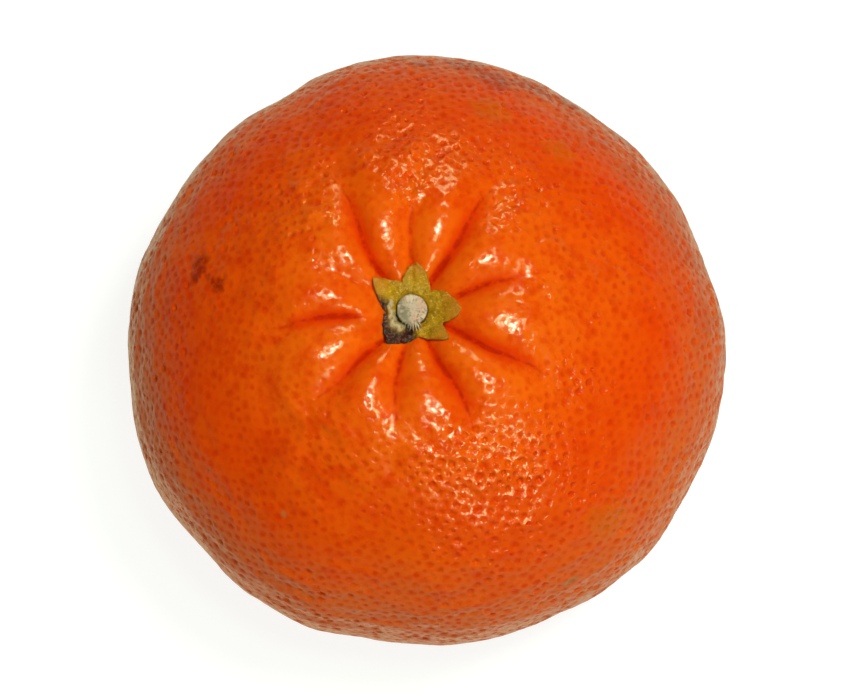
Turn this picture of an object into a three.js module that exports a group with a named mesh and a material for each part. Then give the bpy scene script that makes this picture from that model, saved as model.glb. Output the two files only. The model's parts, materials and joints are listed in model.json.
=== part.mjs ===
// A mandarin as picked: the whole fruit with its furrowed shoulder, the five-leaved calyx left on it
// and the short cut stem that stands in the calyx.
//
// Millimetres, +Z up. The fruit lies on the small flat of its base with the stem end up. The origin
// is on the surface it rests on, under the middle of its width (X) and depth (Y).
//
// The skin is one formula: skinPoint(polar, azimuth, lift) gives the place of the skin in any
// direction from the heart of the fruit. The fruit's mesh, the calyx and the stem all use it.

import * as THREE from "three";
import { mergeVertices } from "three/addons/utils/BufferGeometryUtils.js";

const { degToRad, lerp, smoothstep, euclideanModulo } = THREE.MathUtils;

// ---- Driving dimensions of the body ---------------------------------------------------------------

const sideRadius = 32.15; // from the axis to the skin at the widest level
const crownHeight = 27; // from the widest level up to the crown, before its hollow is pressed in
const baseHeight = 26; // from the widest level down to the base, before its flat
const flatCut = 0.7; // what the flat takes off the base
const fullness = 2.25; // 2 gives an ellipsoid, and more gives fuller shoulders
const stemLean = { x: -1.4, y: 0.25 }; // how far the stem end sits aside of the axis
const axisPlace = { x: -0.17, y: -0.42 }; // of the axis, from the middle of the width and depth

// The body is not quite round: broad waves round its outline and gentle swells all over it.
const outlineWaves = [
  { count: 2, height: 0.27, turn: 22 },
  { count: 3, height: 0.23, turn: -68 },
];
const bulges = [
  { azimuth: 3, height: 0.25 },
  { azimuth: 168, height: 0.3 },
  { azimuth: 246, height: 0.25 },
];
const bulgeSpread = 9; // degrees, also for the valleys
const swellBand = { from: 0.1, full: 0.6, fading: 2.0, gone: 2.7 }; // polar angles, in radians
const valleyBand = { from: 0.4, full: 1.1, fading: 1.8, gone: 2.6 };
const swells = [
  { height: 0.16, crowding: 4.1, toward: [0.81, 0.49, 0.33], shift: 0.6 },
  { height: 0.12, crowding: 6.3, toward: [-0.45, 0.8, 0.4], shift: 2.1 },
  { height: 0.08, crowding: 9.2, toward: [0.3, -0.6, 0.74], shift: 4.0 },
];

// The hollow of the crown, the raised neck round it, and the small hollow under the flower's scar.
const crownHollow = { depth: 3.8, spread: 4.8 };
const neck = { height: 1.35, distance: 10.8, spread: 6.2 };
const baseHollow = { depth: 2.2, spread: 4.0 };

// Furrows run out from the calyx over the shoulder. start and end are distances from the stem, near
// and far the directions there (degrees from +X towards +Y), depth is the furrow's own, and valley
// is the depth of the broad valley in which it goes on down the side. soft is how far the bottom of
// its crease is rounded: a crease near 0 is sharp, and one at 0.3 is a soft trough.
const furrows = [
  { near: 16, far: 18, start: 4.5, end: 14, depth: 1.2, valley: 0.45, soft: 0.14 },
  { near: 57, far: 58, start: 3.5, end: 17, depth: 1.3, valley: 0.25, soft: 0.26 },
  { near: 91, far: 90, start: 4.0, end: 15, depth: 1.1, valley: 0.00, soft: 0.16 },
  { near: 130, far: 119, start: 4.0, end: 17, depth: 1.3, valley: 0.50, soft: 0.28 },
  { near: 156, far: 158, start: 6.0, end: 14, depth: 0.5, valley: 0.00, soft: 0.30 },
  { near: 188, far: 186, start: 6.0, end: 16, depth: 1.3, valley: 0.10, soft: 0.14 },
  { near: 227, far: 221, start: 4.5, end: 16, depth: 1.5, valley: 0.50, soft: 0.24 },
  { near: 258, far: 260, start: 4.0, end: 14, depth: 1.2, valley: 0.35, soft: 0.32 },
  { near: 297, far: 296, start: 4.0, end: 16, depth: 1.2, valley: 0.30, soft: 0.26 },
  { near: 333, far: 332, start: 4.0, end: 17, depth: 1.4, valley: 0.45, soft: 0.14 },
];
const furrowWander = { turn: 1.5, crowding: 0.6 }; // degrees, and radians for each millimetre
const creaseStarts = { before: 2.5, after: 1.5 }; // round a furrow's start, where it sinks in
const creaseFades = { from: 0.5, to: 1.15 }; // shares of a furrow's end, between which it fades
const lobeRoundness = 0.65; // 1 makes lobes like waves, and less makes them rounder between creases

// ---- Driving dimensions of the calyx and the stem -------------------------------------------------

// Each leaf of the star: the direction and reach of its tip, and how blunt that is, then the
// direction and reach of the notch that follows it.
const calyxLeaves = [
  { tip: -3, reach: 5.1, blunt: 0.6, notch: 47, cut: 2.9 },
  { tip: 86, reach: 4.9, blunt: 0.25, notch: 110, cut: 3.4 },
  { tip: 143, reach: 5.2, blunt: 0, notch: 182, cut: 3.1 },
  { tip: 234, reach: 4.6, blunt: 0, notch: 284, cut: 3.2 },
  { tip: 319, reach: 5.1, blunt: 0, notch: 336, cut: 3.7 },
];
const leafPointedness = 1.35; // 1 gives straight sides, and more gives sharper tips
const leafBluntness = 0.8; // of the blunt ones: less gives broader tips
const calyxPressed = 0.4; // how far the star sinks into the furrows that run out from below it
const calyxThickness = 0.75;
const calyxEdge = 0.35; // the height of its rounded rim
const rimRoundness = 0.7; // 1 makes a sharp rim, and less a rounder one
const collar = { height: 0.45, distance: 2.35, spread: 0.5 }; // the ring round the stem

const stemRadius = 1.6;
const stemRise = 2.3; // of the cut face above the floor of the crown's hollow
const stemRounding = 0.3;
const clearance = 0.3; // between pieces that touch

// ---- How finely the meshes are divided ------------------------------------------------------------

const stepsPerLobe = 11; // between one furrow and the next
const skinRings = 42; // from the crown to the base
const ringCrowding = 0.55; // 0 spaces the rings evenly, and more crowds them at crown and base
const calyxSteps = 80;
const calyxSectionSteps = 12;
const stemSteps = 24;

// ---- The skin's formula ---------------------------------------------------------------------------

const widestLevel = baseHeight - flatCut;

function between(low, high, value) {
  return smoothstep(value, low, high);
}

// 1 inside a band, with soft ends.
function within(band, value) {
  return between(band.from, band.full, value) * (1 - between(band.fading, band.gone, value));
}

function bell(offset, spread) {
  return Math.exp(-((offset / spread) ** 2));
}

// The smallest turn between two directions, in degrees and with its sign.
function turnBetween(from, to) {
  return euclideanModulo(to - from + 180, 360) - 180;
}

// The outline's radius at the widest level, in a direction in degrees.
function outlineRadius(azimuth) {
  let radius = sideRadius;
  for (const wave of outlineWaves) {
    radius += wave.height * Math.cos(degToRad(wave.count * azimuth - wave.turn));
  }
  for (const bulge of bulges) {
    radius += bulge.height * bell(turnBetween(bulge.azimuth, azimuth), bulgeSpread);
  }
  return radius;
}

// The smooth body without hollows or furrows.
function bodyRadius(polar, azimuth) {
  const across = Math.sin(polar) / outlineRadius(azimuth);
  const upright = Math.abs(Math.cos(polar)) / (polar < Math.PI / 2 ? crownHeight : baseHeight);
  return (across ** fullness + upright ** fullness) ** (-1 / fullness);
}

// The swells die away towards the crown and the base, whose own shapes are to stay even.
function swellHeight(polar, azimuth) {
  const turn = degToRad(azimuth);
  const direction = [
    Math.sin(polar) * Math.cos(turn),
    Math.sin(polar) * Math.sin(turn),
    Math.cos(polar),
  ];
  let height = 0;
  for (const swell of swells) {
    const along = direction.reduce((sum, part, axis) => sum + part * swell.toward[axis], 0);
    height += swell.height * Math.sin(swell.crowding * along + swell.shift);
  }
  return height * within(swellBand, polar);
}

// Furrows wander a little on their way.
function furrowDirection(furrow, distance) {
  const straight = lerp(furrow.near, furrow.far, between(furrow.start, furrow.end, distance));
  return straight + furrowWander.turn * Math.sin(furrowWander.crowding * distance + furrow.near);
}

// How deep a furrow's crease is at a distance from the stem.
function creaseDepth(furrow, distance) {
  const band = {
    from: furrow.start - creaseStarts.before,
    full: furrow.start + creaseStarts.after,
    fading: furrow.end * creaseFades.from,
    gone: furrow.end * creaseFades.to,
  };
  return furrow.depth * within(band, distance);
}

// A lobe's section: 0 in the crease at either side, where share is 0 or 1, and 1 on its crest.
function lobeBulge(share, softness) {
  const bottom = softness ** lobeRoundness;
  const top = Math.hypot(1, softness) ** lobeRoundness;
  const rounded = Math.hypot(Math.sin(Math.PI * share), softness) ** lobeRoundness;
  return (rounded - bottom) / (top - bottom);
}

// How far the skin lies below the crests of the lobes, which bulge between the furrows.
function furrowDepth(distance, azimuth) {
  for (let i = 0; i < furrows.length; i += 1) {
    const here = furrows[i];
    const next = furrows[(i + 1) % furrows.length];
    const start = furrowDirection(here, distance);
    const width = euclideanModulo(furrowDirection(next, distance) - start, 360);
    const share = euclideanModulo(azimuth - start, 360) / width;
    if (share < 1) {
      const blend = between(0, 1, share);
      const depth = lerp(creaseDepth(here, distance), creaseDepth(next, distance), blend);
      return depth * (1 - lobeBulge(share, lerp(here.soft, next.soft, blend)));
    }
  }
  return 0;
}

function valleyDepth(furrow, polar, azimuth) {
  const alongside = bell(turnBetween(furrow.far, azimuth), bulgeSpread);
  return furrow.valley * within(valleyBand, polar) * alongside;
}

// How far the crown's own shapes lower the skin below the smooth body.
function crownDepth(distance, azimuth, pressed) {
  const hollow = crownHollow.depth * bell(distance, crownHollow.spread);
  const raised = neck.height * bell(distance - neck.distance, neck.spread);
  return hollow - raised + pressed * furrowDepth(distance, azimuth);
}

// A place on the skin, or lifted above it. polar is the angle from +Z and azimuth the one from +X
// towards +Y, in degrees, both seen from the heart of the fruit. pressed says how far the furrows are
// pressed in, and 0 fills them.
function skinPoint(polar, azimuth, lift = 0, pressed = 1) {
  let radius = bodyRadius(polar, azimuth);
  const distance = radius * Math.sin(polar);
  radius += swellHeight(polar, azimuth);
  if (polar < Math.PI / 2) {
    radius -= crownDepth(distance, azimuth, pressed);
  } else {
    radius -= baseHollow.depth * bell(distance, baseHollow.spread);
  }
  for (const furrow of furrows) {
    radius -= valleyDepth(furrow, polar, azimuth);
  }
  radius += lift;
  const leaning = Math.max(Math.cos(polar), 0) ** 2;
  const turn = degToRad(azimuth);
  return new THREE.Vector3(
    axisPlace.x + stemLean.x * leaning + radius * Math.sin(polar) * Math.cos(turn),
    axisPlace.y + stemLean.y * leaning + radius * Math.sin(polar) * Math.sin(turn),
    Math.max(widestLevel + radius * Math.cos(polar), 0),
  );
}

// The polar angle at a distance from the stem, near the crown.
function polarAt(distance) {
  return Math.asin(distance / crownHeight);
}

// ---- The fruit ------------------------------------------------------------------------------------

// Rings are crowded towards the crown and the base, where the shape turns fastest.
function ringPolar(share) {
  return Math.PI * share - ringCrowding * 0.5 * Math.sin(2 * Math.PI * share);
}

// The mesh runs with the furrows: every lobe between two of them gets the same number of steps.
function lobeAzimuth(share, distance) {
  const place = euclideanModulo(share, 1) * furrows.length;
  const index = Math.floor(place);
  const here = furrows[index];
  const next = furrows[(index + 1) % furrows.length];
  const start = furrowDirection(here, distance);
  const width = euclideanModulo(furrowDirection(next, distance) - start, 360);
  return start + width * (place - Math.floor(place));
}

function buildFruit() {
  const around = furrows.length * stepsPerLobe;
  const geometry = new THREE.SphereGeometry(1, around, skinRings);
  const { position, uv } = geometry.attributes;
  for (let i = 0; i < position.count; i += 1) {
    const polar = ringPolar(1 - uv.getY(i));
    const azimuth = lobeAzimuth(uv.getX(i), crownHeight * Math.sin(Math.min(polar, 1)));
    const place = skinPoint(polar, azimuth);
    position.setXYZ(i, place.x, place.y, place.z);
  }
  return closedMesh("fruit", geometry, peelMaterial);
}

// ---- The calyx ------------------------------------------------------------------------------------

// The star's reach in a direction: it swings between the notches and the tips of the leaves.
function calyxReach(azimuth) {
  for (let i = 0; i < calyxLeaves.length; i += 1) {
    const leaf = calyxLeaves[i];
    const before = calyxLeaves[(i + calyxLeaves.length - 1) % calyxLeaves.length];
    const sides = [
      { from: before.notch, to: leaf.tip, past: turnBetween(before.notch, azimuth), cut: before.cut },
      { from: leaf.tip, to: leaf.notch, past: turnBetween(azimuth, leaf.notch), cut: leaf.cut },
    ];
    for (const side of sides) {
      const width = turnBetween(side.from, side.to);
      if (side.past >= 0 && side.past <= width) {
        const share = side.past / width;
        const round = Math.sin((share * Math.PI) / 2) ** leafBluntness;
        return lerp(side.cut, leaf.reach, lerp(share ** leafPointedness, round, leaf.blunt));
      }
    }
  }
  return 0;
}

// A ring whose section is the calyx's: its underside follows the skin, and above it is thick at the
// collar round the stem, with rounded rims.
function buildCalyx() {
  const geometry = new THREE.TorusGeometry(2, 1, calyxSectionSteps, calyxSteps);
  const { position, uv } = geometry.attributes;
  const inner = stemRadius + clearance;
  for (let i = 0; i < position.count; i += 1) {
    const azimuth = 360 * uv.getX(i);
    const turn = 2 * Math.PI * uv.getY(i);
    const outer = calyxReach(azimuth);
    const distance = (inner + outer) / 2 + ((outer - inner) / 2) * Math.cos(turn);
    const swing = Math.abs(Math.sin(turn)) ** rimRoundness;
    const ring = collar.height * bell(distance - collar.distance, collar.spread);
    const above = calyxEdge + (calyxThickness - calyxEdge + ring) * swing;
    const height = Math.sin(turn) > 0 ? above : calyxEdge * (1 - swing);
    const pressed = Math.sin(turn) > 0 ? lerp(1, calyxPressed, swing) : 1;
    const place = skinPoint(polarAt(distance), azimuth, clearance + height, pressed);
    position.setXYZ(i, place.x, place.y, place.z);
  }
  return closedMesh("calyx", geometry, calyxMaterial);
}

// ---- The stem -------------------------------------------------------------------------------------

function buildStem() {
  const floor = skinPoint(0, 0).z;
  const foot = skinPoint(polarAt(stemRadius), 0).z - floor + clearance;
  const profile = [
    new THREE.Vector2(0, foot),
    new THREE.Vector2(stemRadius, foot),
    new THREE.Vector2(stemRadius, stemRise - stemRounding),
    new THREE.Vector2(stemRadius - stemRounding, stemRise),
    new THREE.Vector2(0, stemRise),
  ];
  const geometry = new THREE.LatheGeometry(profile, stemSteps);
  geometry.rotateX(Math.PI / 2);
  const mesh = closedMesh("stem", geometry, stemMaterial);
  mesh.position.set(axisPlace.x + stemLean.x, axisPlace.y + stemLean.y, floor);
  return mesh;
}

// ---- Assembly -------------------------------------------------------------------------------------

const peelMaterial = new THREE.MeshStandardMaterial({ color: 0xe8590a, roughness: 0.35, metalness: 0 });
const calyxMaterial = new THREE.MeshStandardMaterial({ color: 0xa08418, roughness: 0.6, metalness: 0 });
const stemMaterial = new THREE.MeshStandardMaterial({ color: 0xb9a883, roughness: 0.85, metalness: 0 });

// A geometry whose doubled vertices at seams and poles are welded, so that its body is closed.
function closedMesh(name, geometry, material) {
  geometry.deleteAttribute("normal");
  geometry.deleteAttribute("uv");
  const mesh = new THREE.Mesh(mergeVertices(geometry, 1e-4), material);
  mesh.name = name;
  return mesh;
}

const mandarin = new THREE.Group();
mandarin.name = "mandarin";
mandarin.add(buildFruit(), buildCalyx(), buildStem());

export default mandarin;
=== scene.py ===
# %% [markdown]
# # A mandarin, lying with its stem end up
#
# The object is one whole fruit. Its peel is pulled in round the stem, so that furrows run out from
# a green star, the calyx, and the skin between them stands up in soft lobes. Everywhere the peel
# is dotted with oil glands, the small pits that catch the light.
#
# This file dresses three plain solids that were made before it: the fruit, the calyx and the stem.
# Each is replaced by a finer mesh of the same shape. All sizes here are millimetres, and a mesh is
# turned into metres only when it is made. An azimuth is a direction round the stem, in degrees from
# the right side of the fruit and against the clock. A polar angle is the angle at the heart of the
# fruit, in radians from the stem end. A distance is how far a place lies from the upright axis.

# %% The frame that everything is fitted to
import json
import math

import bpy
import numpy as np
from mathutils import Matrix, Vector, noise
from mathutils.geometry import delaunay_2d_cdt

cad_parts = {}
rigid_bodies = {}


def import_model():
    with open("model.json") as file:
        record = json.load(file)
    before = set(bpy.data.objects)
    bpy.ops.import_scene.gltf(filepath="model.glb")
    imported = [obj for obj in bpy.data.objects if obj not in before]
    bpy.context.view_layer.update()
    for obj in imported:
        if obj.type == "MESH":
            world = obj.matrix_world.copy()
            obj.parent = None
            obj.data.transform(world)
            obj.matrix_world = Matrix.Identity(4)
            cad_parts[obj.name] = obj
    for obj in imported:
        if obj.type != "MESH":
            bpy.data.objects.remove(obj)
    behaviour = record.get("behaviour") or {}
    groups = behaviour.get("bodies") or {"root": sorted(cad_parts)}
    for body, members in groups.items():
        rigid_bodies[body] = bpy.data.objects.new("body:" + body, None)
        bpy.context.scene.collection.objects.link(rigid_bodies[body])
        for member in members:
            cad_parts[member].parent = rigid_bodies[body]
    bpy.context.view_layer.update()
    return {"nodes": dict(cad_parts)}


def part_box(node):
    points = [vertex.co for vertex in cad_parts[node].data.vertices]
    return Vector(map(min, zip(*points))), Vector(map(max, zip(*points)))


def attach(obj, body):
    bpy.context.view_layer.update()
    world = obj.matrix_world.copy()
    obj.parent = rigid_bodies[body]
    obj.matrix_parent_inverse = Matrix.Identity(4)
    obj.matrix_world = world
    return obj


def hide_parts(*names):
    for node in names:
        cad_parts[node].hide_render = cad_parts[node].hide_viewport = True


MM = 0.001  # one millimetre, in Blender's metres

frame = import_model()
fruit_low, fruit_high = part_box("fruit")
FRUIT_HEIGHT = fruit_high[2] / MM
print("frame:", sorted(frame["nodes"]), "height", round(FRUIT_HEIGHT, 1), "mm")

# %% [markdown]
# ## The camera
#
# The fruit is looked at almost from straight above, a little from the front, so that the stem end
# shows just above the middle. A long lens keeps the outline close to the fruit's true outline. The
# camera could be turned by hand, but placing it from an elevation and a distance keeps the two
# numbers that matter in sight.

# %% The camera, high above the front
PICTURE_WIDTH = 847
FRUIT_IN_PICTURE = 595  # pixels that the fruit's width takes
SENSOR = 36.0
LENS = 180.0
ELEVATION = 80.0
AIM = (-0.38, 0.0, 25.5)
NEAREST_SEEN = 0.01  # in metres


def camera_distance():
    """How far off the camera sees the fruit's width at its size in the picture."""
    fruit_width = (fruit_high[0] - fruit_low[0]) / MM
    view_width = fruit_width * PICTURE_WIDTH / FRUIT_IN_PICTURE
    return view_width * LENS / SENSOR


def make_camera():
    """Creates the camera and turns it towards the point it aims at."""
    data = bpy.data.cameras.new("camera")
    data.lens = LENS
    data.sensor_width = SENSOR
    data.clip_start = NEAREST_SEEN
    camera = bpy.data.objects.new("camera", data)
    bpy.context.scene.collection.objects.link(camera)
    rise = math.radians(ELEVATION)
    towards_camera = Vector((0.0, -math.cos(rise), math.sin(rise)))
    camera.location = (Vector(AIM) + towards_camera * camera_distance()) * MM
    camera.rotation_euler = towards_camera.to_track_quat("Z", "Y").to_euler()
    return camera


camera = make_camera()
bpy.context.scene.camera = camera
print("camera:", round(camera_distance()), "mm away")

# %% [markdown]
# ## A helper for finishes
#
# A finish is a small network of nodes in front of one Principled shader. It could be wired up by
# hand in the shader editor, but a formula written down can be read and changed later. Building it
# node by node takes many lines, so one little class adds a node, sets its values and joins its
# inputs.

# %% A class that builds one finish


class Finish:
    """One material, built a node at a time. An input may be a number, a colour or a socket."""

    def __init__(self, name):
        self.material = bpy.data.materials.new(name)
        self.material.use_nodes = True
        self.tree = self.material.node_tree
        self.shader = self.tree.nodes["Principled BSDF"]

    def plug(self, socket, value):
        """Joins a socket to another, or sets its number or colour."""
        if isinstance(value, bpy.types.NodeSocket):
            self.tree.links.new(value, socket)
        else:
            socket.default_value = value

    def add(self, kind, inputs=(), **settings):
        """Adds a node and returns it."""
        node = self.tree.nodes.new(kind)
        for setting, value in settings.items():
            setattr(node, setting, value)
        for name, value in dict(inputs).items():
            self.plug(node.inputs[name], value)
        return node

    def attribute(self, name, output="Fac"):
        """A number or vector stored on the mesh."""
        return self.add("ShaderNodeAttribute", attribute_name=name).outputs[output]

    def place(self):
        """The shaded point's place on the piece, in metres."""
        return self.add("ShaderNodeTexCoord").outputs["Object"]

    def math(self, operation, first, second):
        """One sum on two numbers."""
        return self.add("ShaderNodeMath", {0: first, 1: second}, operation=operation).outputs[0]

    def plus(self, first, second):
        """Two numbers added up."""
        return self.math("ADD", first, second)

    def times(self, first, second):
        """Two numbers multiplied."""
        return self.math("MULTIPLY", first, second)

    def distance(self, first, second):
        """How far two places are apart."""
        node = self.add("ShaderNodeVectorMath", {0: first, 1: second}, operation="DISTANCE")
        return node.outputs["Value"]

    def span(self, value, low, high, to_low=0.0, to_high=1.0):
        """Turns a value's span smoothly into another span."""
        inputs = {"Value": value, 1: low, 2: high, 3: to_low, 4: to_high}
        node = self.add("ShaderNodeMapRange", inputs, interpolation_type="SMOOTHSTEP")
        return node.outputs["Result"]

    def noise(self, size, detail=2.0, roughness=0.5, place=None):
        """Soft noise whose lumps are about the given size in millimetres."""
        inputs = {
            "Vector": self.place() if place is None else place,
            "Scale": 1.0 / (size * MM),
            "Detail": detail,
            "Roughness": roughness,
        }
        return self.add("ShaderNodeTexNoise", inputs).outputs["Fac"]

    def blend(self, factor, first, second):
        """Mixes two colours."""
        inputs = {"Factor": factor, "A": first, "B": second}
        return self.add("ShaderNodeMix", inputs, data_type="RGBA").outputs["Result"]

    def bump(self, height, depth, normal=None):
        """Raises the surface by a height from 0 to 1, times a depth in millimetres."""
        inputs = {"Height": height, "Distance": depth * MM}
        if normal is not None:
            inputs["Normal"] = normal
        return self.add("ShaderNodeBump", inputs).outputs["Normal"]

    def finish(self, sockets):
        """Joins or sets the shader's own sockets, and returns the finished material."""
        for name, value in sockets.items():
            self.plug(self.shader.inputs[name], value)
        return self.material


print("a finish can use:", [name for name in vars(Finish) if not name.startswith("_")])

# %% [markdown]
# ## Floor and room
#
# Waxy peel mirrors whatever is round it. A bright room would lay a pale veil over the orange, so the
# room is dim. The backdrop and the floor look white to the camera, but they light the fruit less
# than that, or its sides would have no shade. The floor's own mirror image is what pales the fruit's
# rim. All of this could be a light tent with many panels, but a floor and a plain background are
# enough for one small object.

# %% A pale floor in a pale room
FLOOR_SIZE = 4000.0
FLOOR_WHITE = (0.2, 0.2, 0.2, 1.0)
FLOOR_ROUGHNESS = 0.9
FLOOR_GLOW = (0.85, 0.85, 0.85, 1.0)
FLOOR_FILL = 0.48  # how much of its glow the floor throws up at the fruit
FLOOR_MIRRORED = (0.55, 0.585, 0.365, 1.0)  # its glow as the wax mirrors it
BACKDROP_LIGHT = (0.95, 0.95, 0.95, 1.0)
ROOM_LIGHT = (0.06, 0.058, 0.055, 1.0)


def make_room():
    """A dim room behind a backdrop that looks white."""
    world = bpy.data.worlds.new("room")
    world.use_nodes = True
    tree = world.node_tree
    rays = tree.nodes.new("ShaderNodeLightPath")
    colour = tree.nodes.new("ShaderNodeMix")
    colour.data_type = "RGBA"
    colour.inputs["A"].default_value = ROOM_LIGHT
    colour.inputs["B"].default_value = BACKDROP_LIGHT
    tree.links.new(rays.outputs["Is Camera Ray"], colour.inputs["Factor"])
    tree.links.new(colour.outputs["Result"], tree.nodes["Background"].inputs["Color"])
    bpy.context.scene.world = world
    bpy.context.scene.view_settings.view_transform = "Standard"


def floor_white():
    """White paint with a glow of its own, so that shadows on it stay light."""
    paint = Finish("floor white")
    rays = paint.add("ShaderNodeLightPath").outputs
    sockets = {
        "Base Color": FLOOR_WHITE,
        "Roughness": FLOOR_ROUGHNESS,
        "Emission Color": paint.blend(rays["Is Glossy Ray"], FLOOR_GLOW, FLOOR_MIRRORED),
        "Emission Strength": paint.span(rays["Is Diffuse Ray"], 0.0, 1.0, 1.0, FLOOR_FILL),
    }
    return paint.finish(sockets)


def make_floor():
    """A large plain square."""
    half = FLOOR_SIZE * MM / 2
    mesh = bpy.data.meshes.new("floor")
    corners = [(-half, -half, 0.0), (half, -half, 0.0), (half, half, 0.0), (-half, half, 0.0)]
    mesh.from_pydata(corners, [], [(0, 1, 2, 3)])
    mesh.materials.append(floor_white())
    floor = bpy.data.objects.new("floor", mesh)
    bpy.context.scene.collection.objects.link(floor)
    return floor


make_room()
floor = make_floor()
print("floor:", FLOOR_SIZE, "mm wide")

# %% [markdown]
# ## Lamps
#
# On waxy peel one lamp does two things. It lights the orange below the wax, and its mirror image on
# the wax makes the glints. If each lamp did both, every change of a glint would change the shade as
# well. So two lamps light the fruit and stay out of the wax: a compact one above, and a faint broad
# one low at the front. The other four are seen only in the wax. A small one makes the sparks, a
# broad one the soft shine on the lobes, and two stand low in front of the fruit and behind it.
#
# The peel under the wax is already orange, so a glint needs little more red to turn white. That is
# why the mirrored lamps have less red than green.

# %% Lamps round the fruit
LAMPS = {  # azimuth, elevation, distance, width, power in watts
    "lamp_above": (19, 75, 600, 120, 2.9),
    "lamp_low": (-75, 35, 500, 300, 0.4),
    "lamp_spark": (-30, 83, 610, 60, 7.6),
    "lamp_soft": (-40, 82, 620, 330, 14.2),
    "lamp_front": (-64, 35, 500, 130, 3.6),
    "lamp_back": (85, 34, 500, 200, 3.9),
}
SOFT_LIGHT = (0.72, 1.0, 0.5)
MIRRORED_LIGHT = {
    "lamp_spark": (0.65, 1.0, 0.84),
    "lamp_soft": SOFT_LIGHT,
    "lamp_front": SOFT_LIGHT,
    "lamp_back": SOFT_LIGHT,
}


def make_lamp(name, azimuth, elevation, distance, width, power):
    """A round lamp that faces the fruit from the given side."""
    data = bpy.data.lights.new(name, "AREA")
    data.shape = "DISK"
    data.size = width * MM
    data.energy = power
    data.color = MIRRORED_LIGHT.get(name, (1.0, 1.0, 1.0))
    lamp = bpy.data.objects.new(name, data)
    bpy.context.scene.collection.objects.link(lamp)
    turn, rise = math.radians(azimuth), math.radians(elevation)
    level = math.cos(rise)
    away = Vector((math.cos(turn) * level, math.sin(turn) * level, math.sin(rise)))
    lamp.location = (Vector((0.0, 0.0, FRUIT_HEIGHT / 2)) + away * distance) * MM
    lamp.rotation_euler = away.to_track_quat("Z", "Y").to_euler()
    lamp.visible_glossy = name in MIRRORED_LIGHT
    lamp.visible_diffuse = not lamp.visible_glossy
    return lamp


for lamp_name, lamp_values in LAMPS.items():
    make_lamp(lamp_name, *lamp_values)
print("lamps:", len(LAMPS), "of which mirrored:", len(MIRRORED_LIGHT))

# %% [markdown]
# ## The shape of the body
#
# The body is a squashed ball with full shoulders. It could be sculpted, but a formula that gives
# the distance from the heart of the fruit to its skin in any direction is exact, and the same
# formula made the plain solid, so the fine skin fits it everywhere. Waves and bulges of a few
# tenths of a millimetre keep the outline from looking turned on a lathe.

# %% Small helpers for smooth shapes


def between(low, high, value):
    """0 below low, 1 above high, and a smooth step in between."""
    share = np.clip((value - low) / (high - low), 0.0, 1.0)
    return share * share * (3.0 - 2.0 * share)


def bell(offset, spread):
    """1 at no offset, falling off smoothly on both sides."""
    return np.exp(-((offset / spread) ** 2))


def mix(low, high, share):
    """The value at a share of the way from low to high."""
    return low + (high - low) * share


def turn_between(start, end):
    """The smallest turn from one direction to another, in degrees and with its sign."""
    return (end - start + 180.0) % 360.0 - 180.0


def direction_of(polar, azimuth):
    """The direction as a unit vector."""
    turn = np.radians(azimuth)
    return np.stack([np.sin(polar) * np.cos(turn), np.sin(polar) * np.sin(turn), np.cos(polar)], -1)


def level_direction(azimuth):
    """The level direction that points to an azimuth."""
    return direction_of(np.full_like(azimuth, np.pi / 2), azimuth)


print("a bell at once its spread:", round(float(bell(1.0, 1.0)), 2))

# %% The body without hollows
SIDE_RADIUS = 32.15
CROWN_HEIGHT = 27.0  # above the heart of the fruit
BASE_HEIGHT = 26.0  # below it
FLAT_CUT = 0.7  # how much the table flattens the base
WIDEST_LEVEL = BASE_HEIGHT - FLAT_CUT
FULLNESS = 2.25  # 2 makes a plain ellipsoid, and more makes fuller shoulders
STEM_LEAN = (-1.4, 0.25)  # how far the stem stands off the axis
AXIS_PLACE = (-0.17, -0.42)
OUTLINE_WAVES = [(2, 0.27, 22.0), (3, 0.23, -68.0)]  # count, height, turn
BULGES = [(3.0, 0.25), (168.0, 0.3), (246.0, 0.25)]  # azimuth, height
BULGE_SPREAD = 9.0  # degrees
SWELLS = [  # height, crowding, direction, shift
    (0.16, 4.1, (0.81, 0.49, 0.33), 0.6),
    (0.12, 6.3, (-0.45, 0.8, 0.4), 2.1),
    (0.08, 9.2, (0.3, -0.6, 0.74), 4.0),
]
SWELLS_BEGIN = (0.1, 0.6)  # polar angles between which they grow
SWELLS_END = (2.0, 2.7)  # and fade again


def outline_radius(azimuth):
    """The radius at the widest level, in a direction."""
    radius = np.full_like(azimuth, SIDE_RADIUS)
    for count, height, turn in OUTLINE_WAVES:
        radius += height * np.cos(np.radians(count * azimuth - turn))
    for place, height in BULGES:
        radius += height * bell(turn_between(place, azimuth), BULGE_SPREAD)
    return radius


def body_radius(polar, azimuth):
    """The distance from the heart of the fruit to the smooth body."""
    across = np.sin(polar) / outline_radius(azimuth)
    upright = np.abs(np.cos(polar)) / np.where(polar < np.pi / 2, CROWN_HEIGHT, BASE_HEIGHT)
    return (across**FULLNESS + upright**FULLNESS) ** (-1.0 / FULLNESS)


def swell_height(polar, azimuth):
    """Gentle unevenness all over the body, but for its crown and its base."""
    direction = direction_of(polar, azimuth)
    height = np.zeros_like(polar)
    for size, crowding, toward, shift in SWELLS:
        height += size * np.sin(crowding * direction @ np.array(toward) + shift)
    return height * between(*SWELLS_BEGIN, polar) * (1.0 - between(*SWELLS_END, polar))


quarter_turns = np.arange(0.0, 360.0, 90.0)
print("radius right, back, left and front:", outline_radius(quarter_turns).round(2))

# %% [markdown]
# ## Furrows and hollows
#
# Where the stem held the fruit, the peel is drawn in: a hollow under the calyx, a raised neck round
# it, and furrows that run out between soft lobes. Cutting ten grooves into a ball would leave flat
# skin between them. So each pair of neighbouring furrows shares one rounded lobe instead, and the
# furrow is the sharp valley where two lobes meet. Every furrow is written down by itself, because
# their unequal directions, lengths and depths are what makes the crown look grown.

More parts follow.
